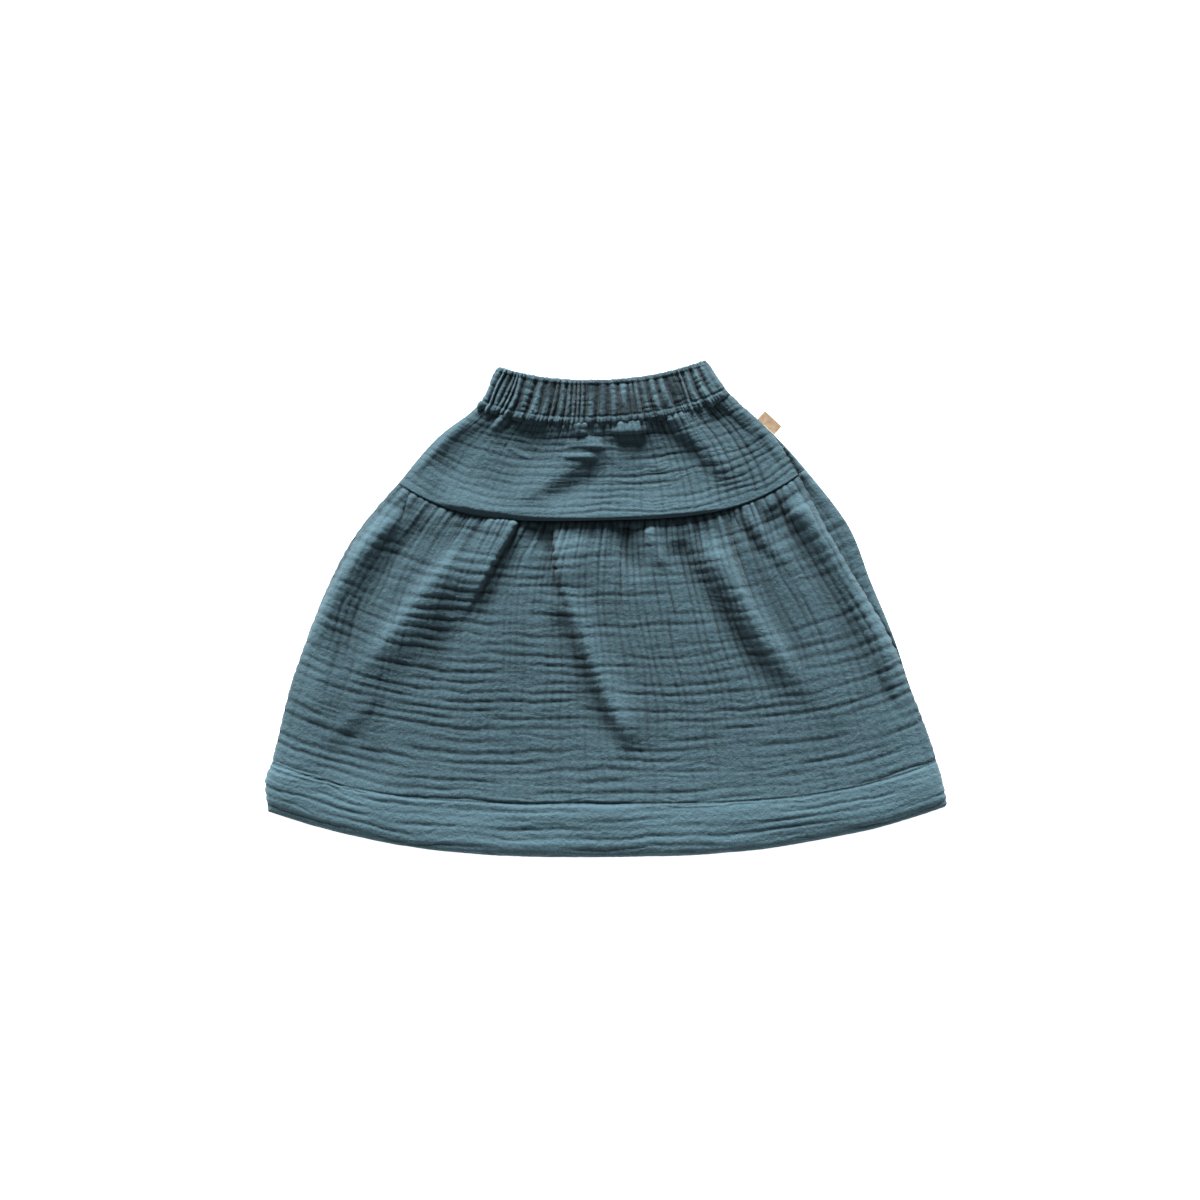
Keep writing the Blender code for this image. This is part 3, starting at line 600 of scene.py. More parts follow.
def crinkle(across, down, seed, pitch, column_strength, cells):
    """The gauze's uneven puffs, with long creases across and shorter ones down the cloth.

    Returns the relief, and how much painted shade its crease lines get, from 0 to about 1."""
    x, y = plan(across, down)
    wander = layered(x, y, seed, ROW_WANDER)
    turn = (down + wander) / pitch + ROW_BUNCH * noise(x, down, 150.0, 30.0, seed + 2)
    length = noise(x, np.round(turn), ROW_LENGTH, 1.0, seed + 3)
    strength = raised(ROW_LEAST, ease(ROW_MIDDLE + CREASE_SPREAD * length))
    rows = strength * crease_lines(turn, ROW_SHARP)

    turn = (down + FINE_ROW_WANDER * wander) / (FINE_ROW_PITCH * pitch)
    turn = turn + noise(x, down, 40.0, 18.0, seed + 10)
    length = noise(x, np.round(turn), FINE_ROW_LENGTH, 1.0, seed + 11)
    strength = ease(FINE_ROW_MIDDLE + CREASE_SPREAD * length)
    rows = np.maximum(rows, FINE_ROW_SHARE * strength * crease_lines(turn, FINE_SHARP))
    rows = rows * (1 - ROWS_YIELD * column_strength)

    turn = across * cells + layered(x, y, seed, COLUMN_SWAY)
    length = noise(np.round(turn), down, 1.0, COLUMN_LENGTH, seed + 6)
    strength = raised(COLUMN_LEAST, ease(COLUMN_MIDDLE + CREASE_SPREAD * length))
    strength = strength * column_strength
    columns = strength * crease_lines(turn, COLUMN_SHARP)

    nap = layered(x, y, seed, CRINKLE_NAP)
    relief = CRINKLE_LIFT - ROW_HEIGHT * rows - COLUMN_HEIGHT * columns + NAP_HEIGHT * nap
    # Painted shade along the row and column creases
    lines = ROW_LINE * rows ** 2 + COLUMN_LINE * strength * crease_lines(turn, FINE_SHARP)
    return relief, lines


def with_spots(strength, spots, x, y):
    """A strength raised in soft round regions of the plan, kept between 0 and 1."""
    for weight, centre_x, centre_y, reach_x, reach_y in spots:
        away = ((x - centre_x) / reach_x) ** 2 + ((y - centre_y) / reach_y) ** 2
        strength = strength + weight * np.exp(-away)
    return np.clip(strength, 0.0, 1.0)


def tier_column_strength(across, down):
    """Where the creases down the cloth show in the lower tier, from 0 to 1."""
    x, y = plan(across, down)
    strength = raised(TIER_COLUMN_LEAST, np.exp(-(down - TIER_SEAM) / TIER_COLUMN_FADE))
    strength = strength * raised(LEFT_COLUMNS, ease((x - LEFT_FROM) / LEFT_WIDTH))
    return with_spots(strength, TIER_COLUMN_SPOTS, x, y)


def yoke_column_strength(across, down):
    """Where the creases down the cloth show in the yoke, from 0 to 1."""
    x, y = plan(across, down)
    near = YOKE_SEAM_COLUMNS * np.exp(-(down - WAIST_SEAM) / YOKE_SEAM_FADE)
    return with_spots(YOKE_COLUMN_LEAST + near, YOKE_COLUMN_SPOTS, x, y)


def seam_roll(distance):
    """How far the cloth turns down beside a seam, at a distance from it."""
    return SEAM_DROP * (1 - rounding(distance, ROUND_SEAM))


def rim_knobs(across, down):
    """How far the ruched rim stands out of its smooth line."""
    notch = np.exp(-((across - NOTCH_AT) / NOTCH_HALF) ** 2)
    out = KNOB_REACH * (BEADS.wave(across) - KNOB_MIDDLE) - NOTCH_DEPTH * notch
    return out * np.exp(-down / RIM_BEAD_AT)


def band_pleats(across, down):
    """The casing's pleats, which lean a little: 0 in an open trough and 1 on a crest."""
    x, _ = plan(across, down)
    slant = PLEAT_SLANT * noise(x, x * 0, SLANT_CELL, 1.0, seed=74)
    across = across + slant * (down / WAIST_SEAM - 0.5)
    return 1 - (1 - BAND.wave(across)) * BAND.taper(across, down / WAIST_SEAM)


def band_puffs(across, down):
    """Uneven puffs along the pleats, with creases across them."""
    x, y = plan(across, down)
    puffs = PLEAT_PUFF * noise(across * BAND_PLEATS * 2, down, 1.0, PUFF_CELL, seed=75)
    turn = down / BAND_ROW_PITCH + BAND_ROW_SWAY * noise(x, y, 7.0, 9.0, seed=76)
    shown = ease(BAND_ROW_MIDDLE + noise(x, y, 9.0, 7.0, seed=77))
    return puffs - BAND_ROW_HEIGHT * crease_lines(turn, FINE_SHARP) * shown


def fine_pleats(across, down):
    """Relief of the finer pleats, which fade away from both beads, and how much painted shade
    their troughs get.
    """
    top = np.exp(-np.maximum(down - RIM_BEAD_AT, 0.0) / FINE_PLEAT_FADE)
    low = np.exp(-np.maximum(SEAM_BEAD_AT - down, 0.0) / FINE_PLEAT_FADE)
    top_wave = BAND_FINE_TOP.wave(across)
    low_wave = BAND_FINE_LOW.wave(across)
    relief = FINE_PLEAT_HEIGHT * (top_wave * top + low_wave * low)
    return relief, (1 - top_wave) ** 2 * top + (1 - low_wave) ** 2 * low


def band_beads(across, down):
    """Relief of the two ruched beads and of the grooves beside them, and how much painted
    shade the grooves and the ruches' troughs get.
    """
    relief = 0.0
    dark = 0.0
    wave = BEADS.wave(across)
    for centre in (RIM_BEAD_AT, SEAM_BEAD_AT):
        ridge = np.exp(-((down - centre) / BEAD_HALF) ** 4)
        away = np.abs(down - centre) - BEAD_HALF * BEAD_GROOVE_AT
        groove = np.exp(-(away / BEAD_GROOVE_HALF) ** 2)
        relief = relief + BEAD_HEIGHT * ridge * raised(BEAD_LEAST, wave) - BEAD_GROOVE * groove
        dark = dark + BEAD_PAINTED_SHADE * (BEAD_GROOVE_PAINTED_SHADE * groove + ridge * (1 - wave))
    return relief, dark


def band_front(across, down):
    """The ruched casing: pleats, finer ones at both stitched beads, and the beads."""
    height = front_height(across, down, {}, ROUND_BAND, BAND_FLOOR)
    sides = side_rounding(across, down, ROUND_SIDE)
    height = height + BAND_BULGE * sides * np.sin(np.pi * np.clip(down / WAIST_SEAM, 0.0, 1.0))
    x, y = plan(across, down)
    body = ease((down - RIM_BEAD_AT) / BODY_RISE)
    body = body * ease((SEAM_BEAD_AT - BEAD_HALF - down) / BODY_FADE)
    wave = band_pleats(across, down)
    pleats = PLEAT_HEIGHT * wave + band_puffs(across, down)
    pleats = pleats * raised(PLEAT_LEAST, body)
    fine, fine_dark = fine_pleats(across, down)
    pleats = pleats + fine * raised(FINE_PLEAT_LEAST, body)
    beads, bead_dark = band_beads(across, down)
    nap = BAND_NAP * layered(x, y, 71, PLEAT_NAP)
    calm = ease((1 - across) / PLAIN_END)
    relief = pleats * calm + PLAIN_HEIGHT * (1 - calm) * body + beads + nap
    width = row_width(down)
    relief = relief * raised(PLAIN_LEAST, rounding((1 - across) * width, PLAIN_ROUND))
    relief = relief * raised(EDGE_LEAST, rounding(across * width, ROUND_BAND))
    relief = relief * rounding(down, RIM_BEAD_AT)
    drop = seam_roll(WAIST_SEAM - down)
    y = y + rim_knobs(across, down)
    base = np.stack((x, y, height - drop), axis=-1)
    # Painted shade in the pleats' troughs, with random patches and mottle, and the whole band
    # a little darker
    dark = PLEAT_PAINTED_SHADE * (1 - wave) ** 2 + FINE_PLEAT_PAINTED_SHADE * fine_dark
    patches = BAND_PATCHES * noise(x, down, 15.0, 34.0, seed=78)
    patches = patches + MOTTLE * noise(x, y, 4.0, 5.0, seed=79)
    return base, relief, (patches - dark) * body * calm - bead_dark - BAND_DARK


def yoke_front(across, down):
    """The yoke with its folds, and small gathers where the waistband holds it."""
    height = front_height(across, down, YOKE_FOLDS, ROUND_SIDE, FLOOR)
    x, y = plan(across, down)
    drop = seam_roll(TIER_SEAM - down) + seam_roll(down - WAIST_SEAM)
    lip = YOKE_LIP * np.exp(-(TIER_SEAM - down) / YOKE_LIP_FADE)
    height = kept_up(height + lip - drop, height)
    near = np.exp(-(down - WAIST_SEAM) / YOKE_GATHER_FADE)
    wave = BAND_FINE_LOW.wave(across)
    small = YOKE_GATHER_HEIGHT * wave * near
    # Painted shade in the small gathers' troughs
    dark = YOKE_GATHER_PAINTED_SHADE * (1 - wave) ** 2 * near
    strength = yoke_column_strength(across, down)
    folds, lines = crinkle(across, down, 100, YOKE_ROW_PITCH, strength, YOKE_CELLS)
    calm = ease((TIER_SEAM - down) / YOKE_CALM_REACH)
    calm = calm * raised(YOKE_CALM, ease((x - YOKE_CALM_FROM) / YOKE_CALM_WIDTH))
    relief = small + folds * calm
    # Painted shade along the crinkle's creases
    return np.stack((x, y, height), axis=-1), relief, -LINE_PAINTED_SHADE * lines * calm - dark


def tier_front(across, down):
    """The gathered lower tier with its turned-up, stitched hem."""
    height = front_height(across, down, TIER_FOLDS, ROUND_SIDE, FLOOR)
    x, y = plan(across, down)
    depth = down - TIER_SEAM
    pinch = PINCH_DEPTH * (1 - PINCH_EASE * (2 * across - 1) ** 2)
    pinch = pinch * np.exp(-depth / PINCH_FADE) + seam_roll(depth)
    height = kept_up(height - pinch, height)
    edge = rounding(HEM_FOLD - down, ROUND_HEM)
    height = FLOOR + (height - FLOOR) * edge

    wave = TIER.wave(across)
    long_wave = TIER_LONG.wave(across)
    long_share = np.exp(-depth / TIER_LONG.fade(across)) * ease(depth / LONG_GATHER_START)
    gathers = TIER_GATHER_HEIGHT * wave * np.exp(-depth / TIER.fade(across))
    gathers = gathers + LONG_GATHER_HEIGHT * long_wave * long_share
    gathers = gathers * ease(GATHER_START_SHARE + depth / GATHER_START)

    strength = tier_column_strength(across, down)
    folds, lines = crinkle(across, down, 200, TIER_ROW_PITCH, strength, TIER_CELLS)
    hem = ease((down - HEM_LINE) / HEM_EASE)
    calm = ease(depth / TIER_CALM_REACH) * (1 - HEM_CALM * hem)
    swell = HEM_SWELL * hem * noise(x, y, 60.0, 16.0, seed=81)
    groove = HEM_GROOVE * np.exp(-((down - HEM_LINE) / HEM_GROOVE_HALF) ** 2)
    relief = gathers + folds * calm + HEM_STEP * hem + swell - groove
    relief = relief * raised(EDGE_LEAST, edge)

    # Lighter towards the hem and on it, with painted shade along the crinkle's creases and in
    # the gathers' troughs
    low = ease((down - HEM_LINE) / LOW_TONE_REACH + 1)
    tone = LOW_TONE * low + HEM_TONE * hem - LINE_PAINTED_SHADE * lines * calm
    tone = tone - LONG_GATHER_PAINTED_SHADE * (1 - long_wave) ** 2 * long_share
    tone = tone - SHORT_GATHER_PAINTED_SHADE * (1 - wave) ** 2 * np.exp(-depth / SHORT_SHADE_FADE)
    return np.stack((x, y, height), axis=-1), relief, tone


def band_back_relief(across, down):
    """Pleats of the waistband's back."""
    x, y = plan(across, down)
    pleats = BACK_PLEAT_HEIGHT * BAND_BEHIND.wave(across)
    pleats = pleats + BACK_FINE_HEIGHT * BAND_FINE_TOP.wave(across)
    return pleats + BACK_NAP * noise(x, y, 3.0, 4.0, seed=77)


def back_crinkle(across, down, seed, pitch, cells):
    """Shallow crinkle of a back panel."""
    strength = np.full(across.shape, BACK_COLUMN_STRENGTH)
    folds, _ = crinkle(across, down, seed, pitch, strength, cells)
    return BACK_CRINKLE * folds


def yoke_back_relief(across, down):
    """Crinkle of the yoke's back."""
    return back_crinkle(across, down, 300, YOKE_ROW_PITCH, YOKE_CELLS)


def tier_back_relief(across, down):
    """Crinkle, gathers and hem groove of the lower tier's back."""
    depth = down - TIER_SEAM
    gathers = BACK_GATHER_HEIGHT * TIER_BEHIND.wave(across)
    gathers = gathers * np.exp(-depth / TIER_BEHIND.fade(across))
    groove = BACK_GROOVE * np.exp(-((down - HEM_LINE) / HEM_GROOVE_HALF) ** 2)
    return back_crinkle(across, down, 400, TIER_ROW_PITCH, TIER_CELLS) + gathers - groove


def grid_normals(points):
    """Unit normals of a grid of points, facing up out of the front."""
    along = np.gradient(points, axis=1)
    fall = np.gradient(points, axis=0)
    normals = np.cross(fall, along)
    return normals / np.linalg.norm(normals, axis=-1, keepdims=True)


def lines_between(stops):
    """Places from a table of (start, end, step) stretches, joined end to end."""
    places = []
    for start, end, step in stops:
        count = max(2, int(round((end - start) / step)) + 1)
        places.append(np.linspace(start, end, count)[:-1])
    places.append([stops[-1][1]])
    return np.concatenate(places)


def side_spaced(count, edge, extra=10):
    """Places across a panel, with extra ones within an edge share of each side."""
    left = np.linspace(0.0, edge, extra, endpoint=False)
    middle = np.linspace(edge, 1 - edge, count)
    return np.concatenate((left, middle, 1 - left[::-1]))


def every(places, step):
    """Every step-th place, with the last one kept."""
    picked = places[::step]
    return picked if picked[-1] == places[-1] else np.append(picked, places[-1])


def lowest_near(heights, reach):
    """The lowest value within a reach of cells around each cell."""
    for axis in (0, 1):
        pads = [(0, 0), (0, 0)]
        pads[axis] = (reach, reach)
        padded = np.pad(heights, pads, mode="edge")
        size = heights.shape[axis]
        for start in range(2 * reach + 1):
            shifted = np.take(padded, range(start, start + size), axis=axis)
            heights = np.minimum(heights, shifted)
    return heights


def mean_near(heights, reach):
    """The mean value within a reach of cells around each cell."""
    window = 2 * reach + 1
    for axis in (0, 1):
        pads = [(0, 0), (0, 0)]
        pads[axis] = (reach + 1, reach)
        total = np.cumsum(np.pad(heights, pads, mode="edge"), axis=axis)
        size = heights.shape[axis]
        high = np.take(total, range(window, window + size), axis=axis)
        heights = (high - np.take(total, range(size), axis=axis)) / window
    return heights


def new_mesh(name, corners, faces):
    """A mesh from corners in millimetres of the plan."""
    data = bpy.data.meshes.new(name)
    data.from_pydata(((corners + PLAN_SHIFT) * MM).tolist(), [], faces)
    return data


def new_piece(name, data, material):
    """An object in the scene that shows a mesh, shaded smooth."""
    data.materials.append(material)
    data.shade_smooth()
    piece = bpy.data.objects.new(name, data)
    bpy.context.scene.collection.objects.link(piece)
    return piece


def zip_rows(first, second):
    """Triangles between two rows of (share, vertex) pairs."""
    first = first + [(PAST_END, None)]
    second = second + [(PAST_END, None)]
    faces = []
    i = 0
    j = 0
    while min(first[i + 1][0], second[j + 1][0]) < PAST_END:
        corners = [first[i][1], second[j][1]]
        if first[i + 1][0] <= second[j + 1][0]:
            i += 1
            corners.append(first[i][1])
        else:
            j += 1
            corners.append(second[j][1])
        faces.append([int(corner) for corner in corners])
    return faces


def shell_object(name, outer, inner, material, outer_down=False):
    """One closed shell from an outer and an inner grid: (across, points, crease).

    The two grids face away from each other, and triangles join their rims."""
    vertices = []
    faces = []
    creases = []
    rims = []
    for inward, (across, points, crease) in enumerate((outer, inner)):
        start = sum(len(block) for block in vertices)
        rows, columns = points.shape[:2]
        number = start + np.arange(rows * columns).reshape(rows, columns)
        corners = (number[:-1, :-1], number[1:, :-1], number[1:, 1:], number[:-1, 1:])
        quads = np.stack(corners, axis=-1)
        if inward != outer_down:
            quads = quads[..., ::-1]
        vertices.append(points.reshape(-1, 3))
        creases.append(np.broadcast_to(crease, (rows, columns)).reshape(-1))
        faces += quads.reshape(-1, 4).tolist()
        down = np.linspace(0.0, 1.0, rows)
        rims.append([list(zip(across, number[0])), list(zip(across, number[-1])),
                     list(zip(down, number[:, 0])), list(zip(down, number[:, -1]))])
    for first, second in zip(*rims):
        faces += zip_rows(first, second)
    data = new_mesh(name, np.concatenate(vertices), faces)
    mesh = bmesh.new()
    mesh.from_mesh(data)
    bmesh.ops.recalc_face_normals(mesh, faces=mesh.faces)
    mesh.to_mesh(data)
    mesh.free()
    # The attribute crease carries the painted shade and painted highlight to the material
    attribute = data.attributes.new("crease", "FLOAT", "POINT")
    attribute.data.foreach_set("value", np.concatenate(creases).astype(np.float32))
    return new_piece(name, data, material)


def front_shell(name, surface, across, down, floor, material, reach=TONE_REACH, share=1.0):
    """A front panel: its outer face with relief over a plainer inner face.

    Small reliefs paint highlight and shade on the cloth by a share, against their mean within
    a reach of cells."""
    grid_across, grid_down = np.meshgrid(across, down)
    base, relief, tone = surface(grid_across, grid_down)
    points = base + grid_normals(base) * relief[..., None]
    points[..., 2] = np.maximum(points[..., 2], floor)
    high = base[..., 2]
    # Painted highlight on crests and painted shade in hollows, from the small relief and from
    # the large folds' height
    crease = PLAIN_TONE + tone + share * SMALL_PAINTED_SHADING * (relief - mean_near(relief, reach))
    crease = crease + LARGE_PAINTED_SHADING * (high - mean_near(high, LARGE_REACH * reach))
    crease = np.clip(crease, DARKEST, BRIGHTEST)
    coarse_across = every(across, INNER_STEP)
    coarse_down = every(down, INNER_STEP)
    columns = np.searchsorted(across, coarse_across)
    rows = np.searchsorted(down, coarse_down)
    under = base[np.ix_(rows, columns)].copy()
    lowest = lowest_near(points[..., 2], INNER_STEP)[np.ix_(rows, columns)]
    under[..., 2] = np.maximum(lowest - INNER_WALL, floor)
    inner = (coarse_across, under, PLAIN_TONE)
    return shell_object(name, (across, points, crease), inner, material), points


def back_shell(name, relief_at, across, down, wall, material, ends):
    """A back panel, which lies on its crests and shows as a strip beside the front.

    The two values in ends say whether its first and its last row round up."""
    grid_across, grid_down = np.meshgrid(across, down)
    x, y = plan(grid_across, grid_down, back=True)
    relief = relief_at(grid_across, grid_down)
    sides = side_rounding(grid_across, grid_down, ROUND_BAND)
    for rounded, distance in zip(ends, (grid_down - down[0], down[-1] - grid_down)):
        if rounded:
            sides = sides * rounding(distance, ROUND_HEM)
    depth = (relief.max() - relief) * sides + wall * BACK_EDGE_LIFT * (1 - sides)
    lower = np.stack((x, y, np.clip(depth, 0.0, wall - BACK_LEAST_WALL)), axis=-1)
    front_edge = section("right_x", grid_down)
    room = section("back_x", grid_down) - front_edge
    share = np.clip((x - front_edge) / np.maximum(room, 0.1), 0.0, 1.0)
    roll = STRIP_RISE * np.sin(np.pi * share) ** STRIP_ROUND
    roll = np.where(room > STRIP_WIDTH, roll, 0.0)
    shown = ease(roll) / BACK_CRINKLE
    top = wall + roll + STRIP_CRINKLE * shown * (relief - relief.mean())
    upper = np.stack((x, y, np.maximum(top, wall * BACK_TOP)), axis=-1)
    # Painted highlight on the back's crests and painted shade in its hollows
    crease = PLAIN_TONE + BACK_PAINTED_SHADING * (relief - mean_near(relief, TONE_REACH))
    crease = np.clip(crease, DARKEST, BRIGHTEST)
    return shell_object(name, (across, lower, crease), (across, upper, crease), material, True)


def sample(grid, across, down):
    """Points and normals of a finished grid at single places."""
    columns, rows, points = grid
    normals = grid_normals(points)
    column = np.interp(across, columns, np.arange(len(columns)))
    row = np.interp(down, rows, np.arange(len(rows)))
    left = np.clip(column.astype(int), 0, len(columns) - 2)
    top = np.clip(row.astype(int), 0, len(rows) - 2)
    share_x = (column - left)[:, None]
    share_y = (row - top)[:, None]
    found = []
    for field in (points, normals):
        near, far = (field[at, left] * (1 - share_x) + field[at, left + 1] * share_x
                     for at in (top, top + 1))
        found.append(near * (1 - share_y) + far * share_y)
    return found


def stitch_row(name, grid, down_at, material):
    """A run of small stitches lying in a line across a finished panel."""
    fine = np.linspace(STITCH_END, 1 - STITCH_END, STITCH_SAMPLES)
    track, _ = sample(grid, fine, np.full(fine.shape, down_at))
    steps = np.linalg.norm(np.diff(track[:, :2], axis=0), axis=1)
    travelled = np.concatenate(([0.0], np.cumsum(steps)))
    count = int(travelled[-1] / STITCH_PITCH)
    centres = (np.arange(count) + 0.5) * travelled[-1] / count
    ends = []
    for offset in (-STITCH_LENGTH / 2, 0.0, STITCH_LENGTH / 2):
        place = np.interp(centres + offset, travelled, fine)
        ends.append(sample(grid, place, np.full(place.shape, down_at)))
    vertices = []
    faces = []
    for k in range(count):
        tail, middle, head = (end[0][k] for end in ends)
        up = ends[1][1][k] / np.linalg.norm(ends[1][1][k])
        run = (head - tail) / np.linalg.norm(head - tail)
        side = np.cross(up, run) * STITCH_HALF
        first = len(vertices)
        vertices += [tail, middle + side, middle - side, head,
                     middle + up * STITCH_RISE, middle - up * STITCH_RISE]
        for a, b in ((0, 1), (1, 3), (3, 2), (2, 0)):
            faces.append((first + a, first + b, first + 4))
            faces.append((first + b, first + a, first + 5))
    return new_piece(name, new_mesh(name, np.array(vertices), faces), material)


class Nodes:
    """A short way to add, set and link the shader nodes of one material."""

    def __init__(self, name):
        self.material = bpy.data.materials.new(name)
        self.material.use_nodes = True
        self.tree = self.material.node_tree
        self.shader = self.tree.nodes["Principled BSDF"]
        self.place = self.add("ShaderNodeTexCoord").outputs["Object"]

    def set(self, node, **values):
        """Set a node's own properties or its inputs, with _ for a space in their names."""
        for key, value in values.items():
            if hasattr(node, key):
                setattr(node, key, value)
            else:
                node.inputs[key.replace("_", " ")].default_value = value
        return node

    def add(self, kind, **values):
        return self.set(self.tree.nodes.new(kind), **values)

    def link(self, source, target):
        self.tree.links.new(source, target)

    def noise(self, scale, detail=2.0, roughness=0.5):
        """A random field over the object."""
        node = self.add("ShaderNodeTexNoise", Scale=scale, Detail=detail, Roughness=roughness)
        self.link(self.place, node.inputs["Vector"])
        return node.outputs["Fac"]

    def mix(self, factor, first, second):
        """The first colour where the factor is 0 and the second where it is 1."""
        node = self.add("ShaderNodeMix", data_type="RGBA", blend_type="MIX")
        sockets = [socket for socket in node.inputs if socket.type == "RGBA"]
        for socket, value in zip(sockets, (first, second)):
            if isinstance(value, tuple):
                socket.default_value = value
            else:
                self.link(value, socket)
        self.link(factor, node.inputs[0])
        return [socket for socket in node.outputs if socket.type == "RGBA"][0]

    def spread(self, value, low, high, to_low=0.0, to_high=1.0):
        """A value's stretch from low to high, spread from to_low to to_high."""
        node = self.add("ShaderNodeMapRange", From_Min=low, From_Max=high,
                        To_Min=to_low, To_Max=to_high)
        self.link(value, node.inputs["Value"])
        return node.outputs["Result"]

    def bump(self, height, distance, strength, before=None):
        """Normals bent by a height, on top of those of an earlier bump."""
        node = self.add("ShaderNodeBump", Distance=distance, Strength=strength)
        self.link(height, node.inputs["Height"])
        if before is not None:
            self.link(before, node.inputs["Normal"])
        return node.outputs["Normal"]


def gauze_material():
    """Soft matt cotton: patchy dye, with painted shade in the creases and painted highlight on
    the crests, and thread and nap.
    """
    nodes = Nodes("double_gauze")
    crease = nodes.add("ShaderNodeAttribute", attribute_name="crease").outputs["Fac"]
    cloud = nodes.spread(nodes.noise(CLOUD_SCALE, 3.0), 0.35, 0.65)
    slub = nodes.spread(nodes.noise(SLUB_SCALE, 3.0, 0.65), 0.32, 0.68)
    tone = nodes.mix(cloud, GAUZE_DEEP, GAUZE_LIGHT)
    # The colour of painted shade, and a brighter colour for slubs and for painted highlight
    shade = tuple(value * SHADE_SHARE for value in GAUZE_DEEP[:3]) + (1.0,)
    bright = tuple(value * BRIGHT_SHARE for value in GAUZE_LIGHT[:3]) + (1.0,)
    # Painted shade where the attribute crease is under plain, painted highlight where it is
    # over
    in_crease = nodes.spread(crease, DARKEST, PLAIN_TONE, CREASE_SHADE, 0.0)
    on_crest = nodes.spread(crease, PLAIN_TONE, BRIGHTEST, 0.0, CREST_PAINTED_HIGHLIGHT)
    tone = nodes.mix(nodes.spread(slub, 0.0, 1.0, 0.0, SLUB_TONE), tone, bright)
    tone = nodes.mix(in_crease, tone, shade)
    tone = nodes.mix(on_crest, tone, bright)
    nodes.link(tone, nodes.shader.inputs["Base Color"])
    nodes.set(nodes.shader, Roughness=0.95, Specular_IOR_Level=0.2, Sheen_Weight=0.25,
              Sheen_Roughness=0.6, Sheen_Tint=SHEEN_TINT)
    puff = nodes.bump(nodes.noise(PUFF_SCALE, 3.0, 0.6), 0.0016, 0.8)
    thread = nodes.bump(nodes.noise(THREAD_SCALE, 2.0, 0.6), 0.0008, 0.7, puff)
    nodes.link(thread, nodes.shader.inputs["Normal"])
    return nodes.material


def tape_material():
    """Tan woven tape with fine ribs along its length."""
    nodes = Nodes("tab_tape")
    rib = nodes.add("ShaderNodeTexWave", Scale=420.0, Distortion=0.6)
    nodes.link(nodes.place, rib.inputs["Vector"])
    patch = nodes.spread(nodes.noise(260.0, 3.0), 0.3, 0.7)
    nodes.link(nodes.mix(patch, TAPE_DEEP, TAPE_LIGHT), nodes.shader.inputs["Base Color"])
    nodes.set(nodes.shader, Roughness=0.85)
    nodes.link(nodes.bump(rib.outputs["Fac"], 0.0003, 0.5), nodes.shader.inputs["Normal"])
    return nodes.material


def thread_material():
    """Dark sewing thread."""
    nodes = Nodes("stitch_thread")
    patch = nodes.spread(nodes.noise(500.0), 0.3, 0.7)
    nodes.link(nodes.mix(patch, THREAD_DEEP, THREAD_LIGHT), nodes.shader.inputs["Base Color"])
    nodes.set(nodes.shader, Roughness=0.8)
    return nodes.material


def floor_material():
    """A pale floor that glows, so that it shows as white as the photograph's ground."""
    nodes = Nodes("pale_floor")
    nodes.set(nodes.shader, Base_Color=FLOOR_COLOUR, Roughness=0.9, Specular_IOR_Level=0.1,
              Emission_Color=WHITE, Emission_Strength=FLOOR_GLOW)
    return nodes.material


gauze = gauze_material()
tape = tape_material()
thread = thread_material()

# Front panels
band_columns = side_spaced(BAND_COLUMNS, edge=0.03)
band_rows = np.linspace(WAIST_RIM, WAIST_SEAM - SEAM_INSET, BAND_ROWS)
waistband_front, _ = front_shell("waistband_front_cloth", band_front, band_columns, band_rows,
                                 BAND_FLOOR, gauze, BAND_TONE_REACH, BAND_TONE_SHARE)

yoke_columns = side_spaced(YOKE_COLUMNS, edge=0.03)
yoke_rows = lines_between(((WAIST_SEAM + SEAM_INSET, WAIST_SEAM + 3, 0.4),
                           (WAIST_SEAM + 3, TIER_SEAM - 3, 0.8),
                           (TIER_SEAM - 3, TIER_SEAM - SEAM_INSET, 0.4)))
yoke_piece, _ = front_shell("yoke_front_cloth", yoke_front, yoke_columns, yoke_rows,
                            FLOOR, gauze)

tier_columns = side_spaced(TIER_COLUMNS, edge=0.02)
tier_rows = lines_between(((TIER_SEAM + SEAM_INSET, TIER_SEAM + 4, 0.5),
                           (TIER_SEAM + 4, TIER_SEAM + 24, 1.0),
                           (TIER_SEAM + 24, HEM_LINE - 4, 1.28),
                           (HEM_LINE - 4, HEM_LINE + 4, 0.6),
                           (HEM_LINE + 4, HEM_FOLD - 6, 1.3),
                           (HEM_FOLD - 6, HEM_FOLD, 0.6)))
tier_piece, tier_points = front_shell("tier_front_cloth", tier_front, tier_columns, tier_rows,
                                      FLOOR, gauze)
hem_stitches = stitch_row("hem_stitches_front", (tier_columns, tier_rows, tier_points),
                          HEM_LINE, thread)

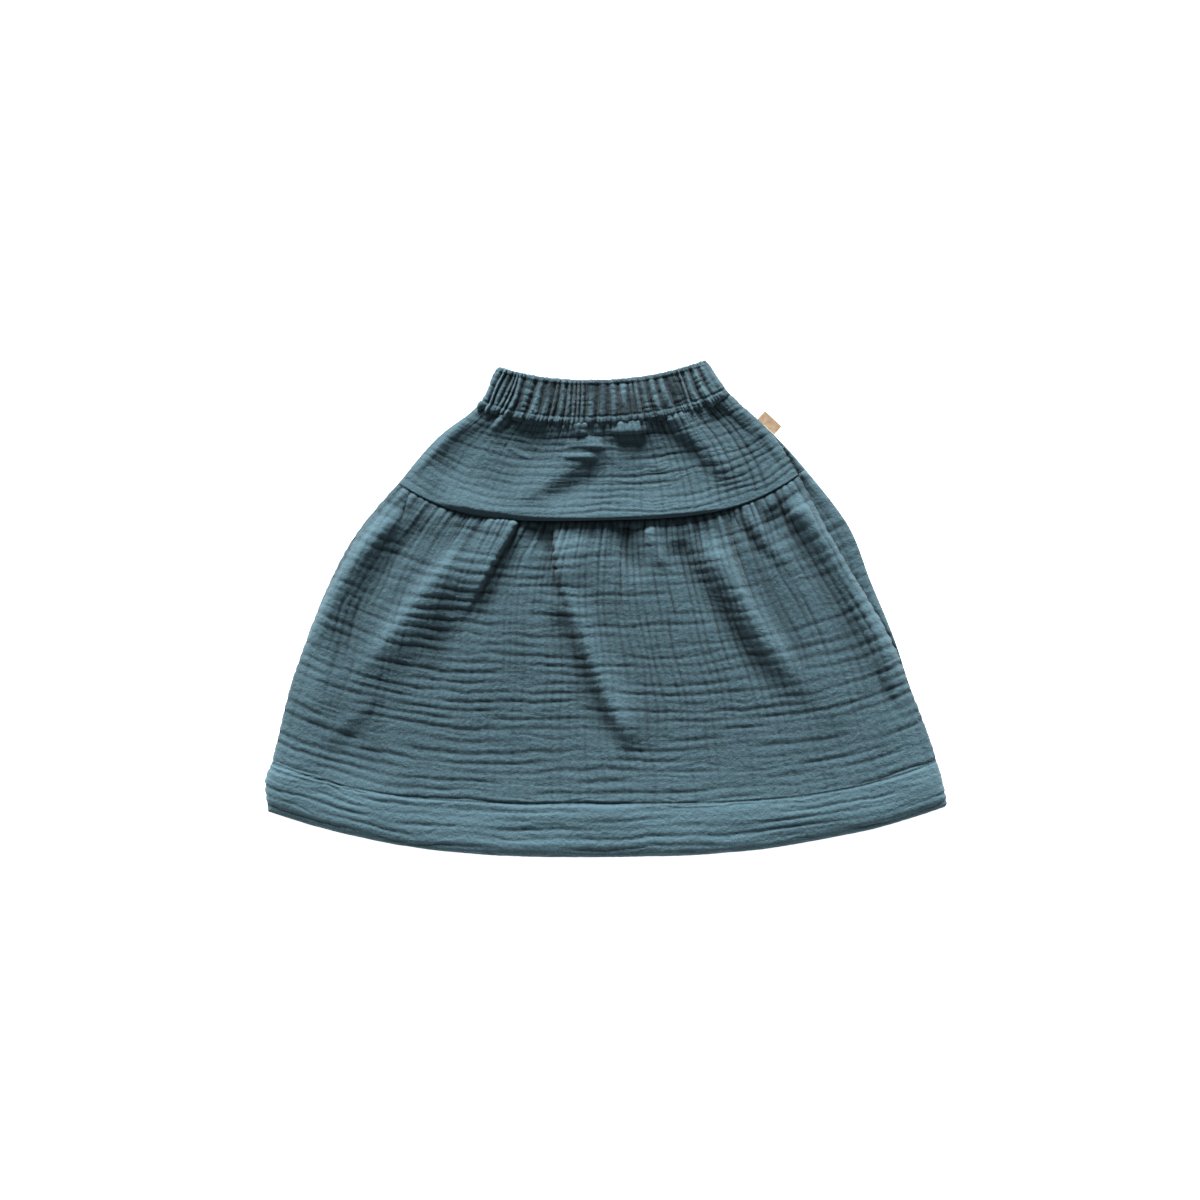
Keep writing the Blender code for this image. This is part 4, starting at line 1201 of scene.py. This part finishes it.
# Back panels
back_columns = side_spaced(BACK_COLUMNS, edge=0.03)
band_rows = np.linspace(WAIST_RIM, WAIST_SEAM - SEAM_INSET, BAND_BACK_ROWS)
waistband_back = back_shell("waistband_back_cloth", band_back_relief, back_columns,
                            band_rows, BAND_BACK, gauze, (True, False))
yoke_rows = np.linspace(WAIST_SEAM + SEAM_INSET, TIER_SEAM - BACK_INSET, YOKE_BACK_ROWS)
yoke_back = back_shell("yoke_back_cloth", yoke_back_relief, back_columns,
                       yoke_rows, BACK_CLOTH, gauze, (False, False))
back_columns = side_spaced(BACK_COLUMNS, edge=0.06, extra=26)
tier_rows = np.linspace(TIER_SEAM + BACK_INSET, HEM_FOLD, TIER_BACK_ROWS)
tier_back = back_shell("tier_back_cloth", tier_back_relief, back_columns,
                       tier_rows, BACK_CLOTH, gauze, (False, True))

# Tab
tab_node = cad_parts["label_tab"]
tab_node.data.materials.clear()
tab_node.data.materials.append(tape)

for piece, nodes_replaced in ((waistband_front, ("waistband_front",)),
                              (yoke_piece, ("yoke_front",)),
                              (tier_piece, ("tier_front", "hem_front")),
                              (waistband_back, ("waistband_back",)),
                              (yoke_back, ("yoke_back",)),
                              (tier_back, ("tier_back", "hem_back"))):
    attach(piece, "root")
    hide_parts(*nodes_replaced)
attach(hem_stitches, "root")

# Floor
bpy.ops.mesh.primitive_plane_add(size=FLOOR_SIZE, location=(0.0, 0.0, -FLOOR_DROP))
floor_plane = bpy.context.object
floor_plane.name = "floor"
floor_plane.data.materials.append(floor_material())

# A low soft key light from beyond the waist, and a dim even sky
key = bpy.data.lights.new("key", "SUN")
key.angle = math.radians(KEY_SOFTNESS)
key.energy = KEY_POWER
lamp = bpy.data.objects.new("key", key)
lamp.location = KEY_FROM
lamp.rotation_euler = (-lamp.location).to_track_quat("-Z", "Y").to_euler()
bpy.context.scene.collection.objects.link(lamp)

world = bpy.data.worlds.new("studio")
world.use_nodes = True
sky = world.node_tree.nodes["Background"]
sky.inputs["Color"].default_value = WHITE
sky.inputs["Strength"].default_value = WORLD_STRENGTH
bpy.context.scene.world = world
bpy.context.scene.view_settings.view_transform = "Standard"

# Camera, straight above
camera_data = bpy.data.cameras.new("camera")
camera_data.sensor_width = SENSOR
camera_data.lens = SENSOR * CAMERA_HEIGHT / FRAME_WIDTH
camera_data.clip_end = CAMERA_REACH
camera = bpy.data.objects.new("camera", camera_data)
camera.location = (*FRAME_CENTRE, CAMERA_HEIGHT)
bpy.context.scene.collection.objects.link(camera)
bpy.context.scene.camera = camera
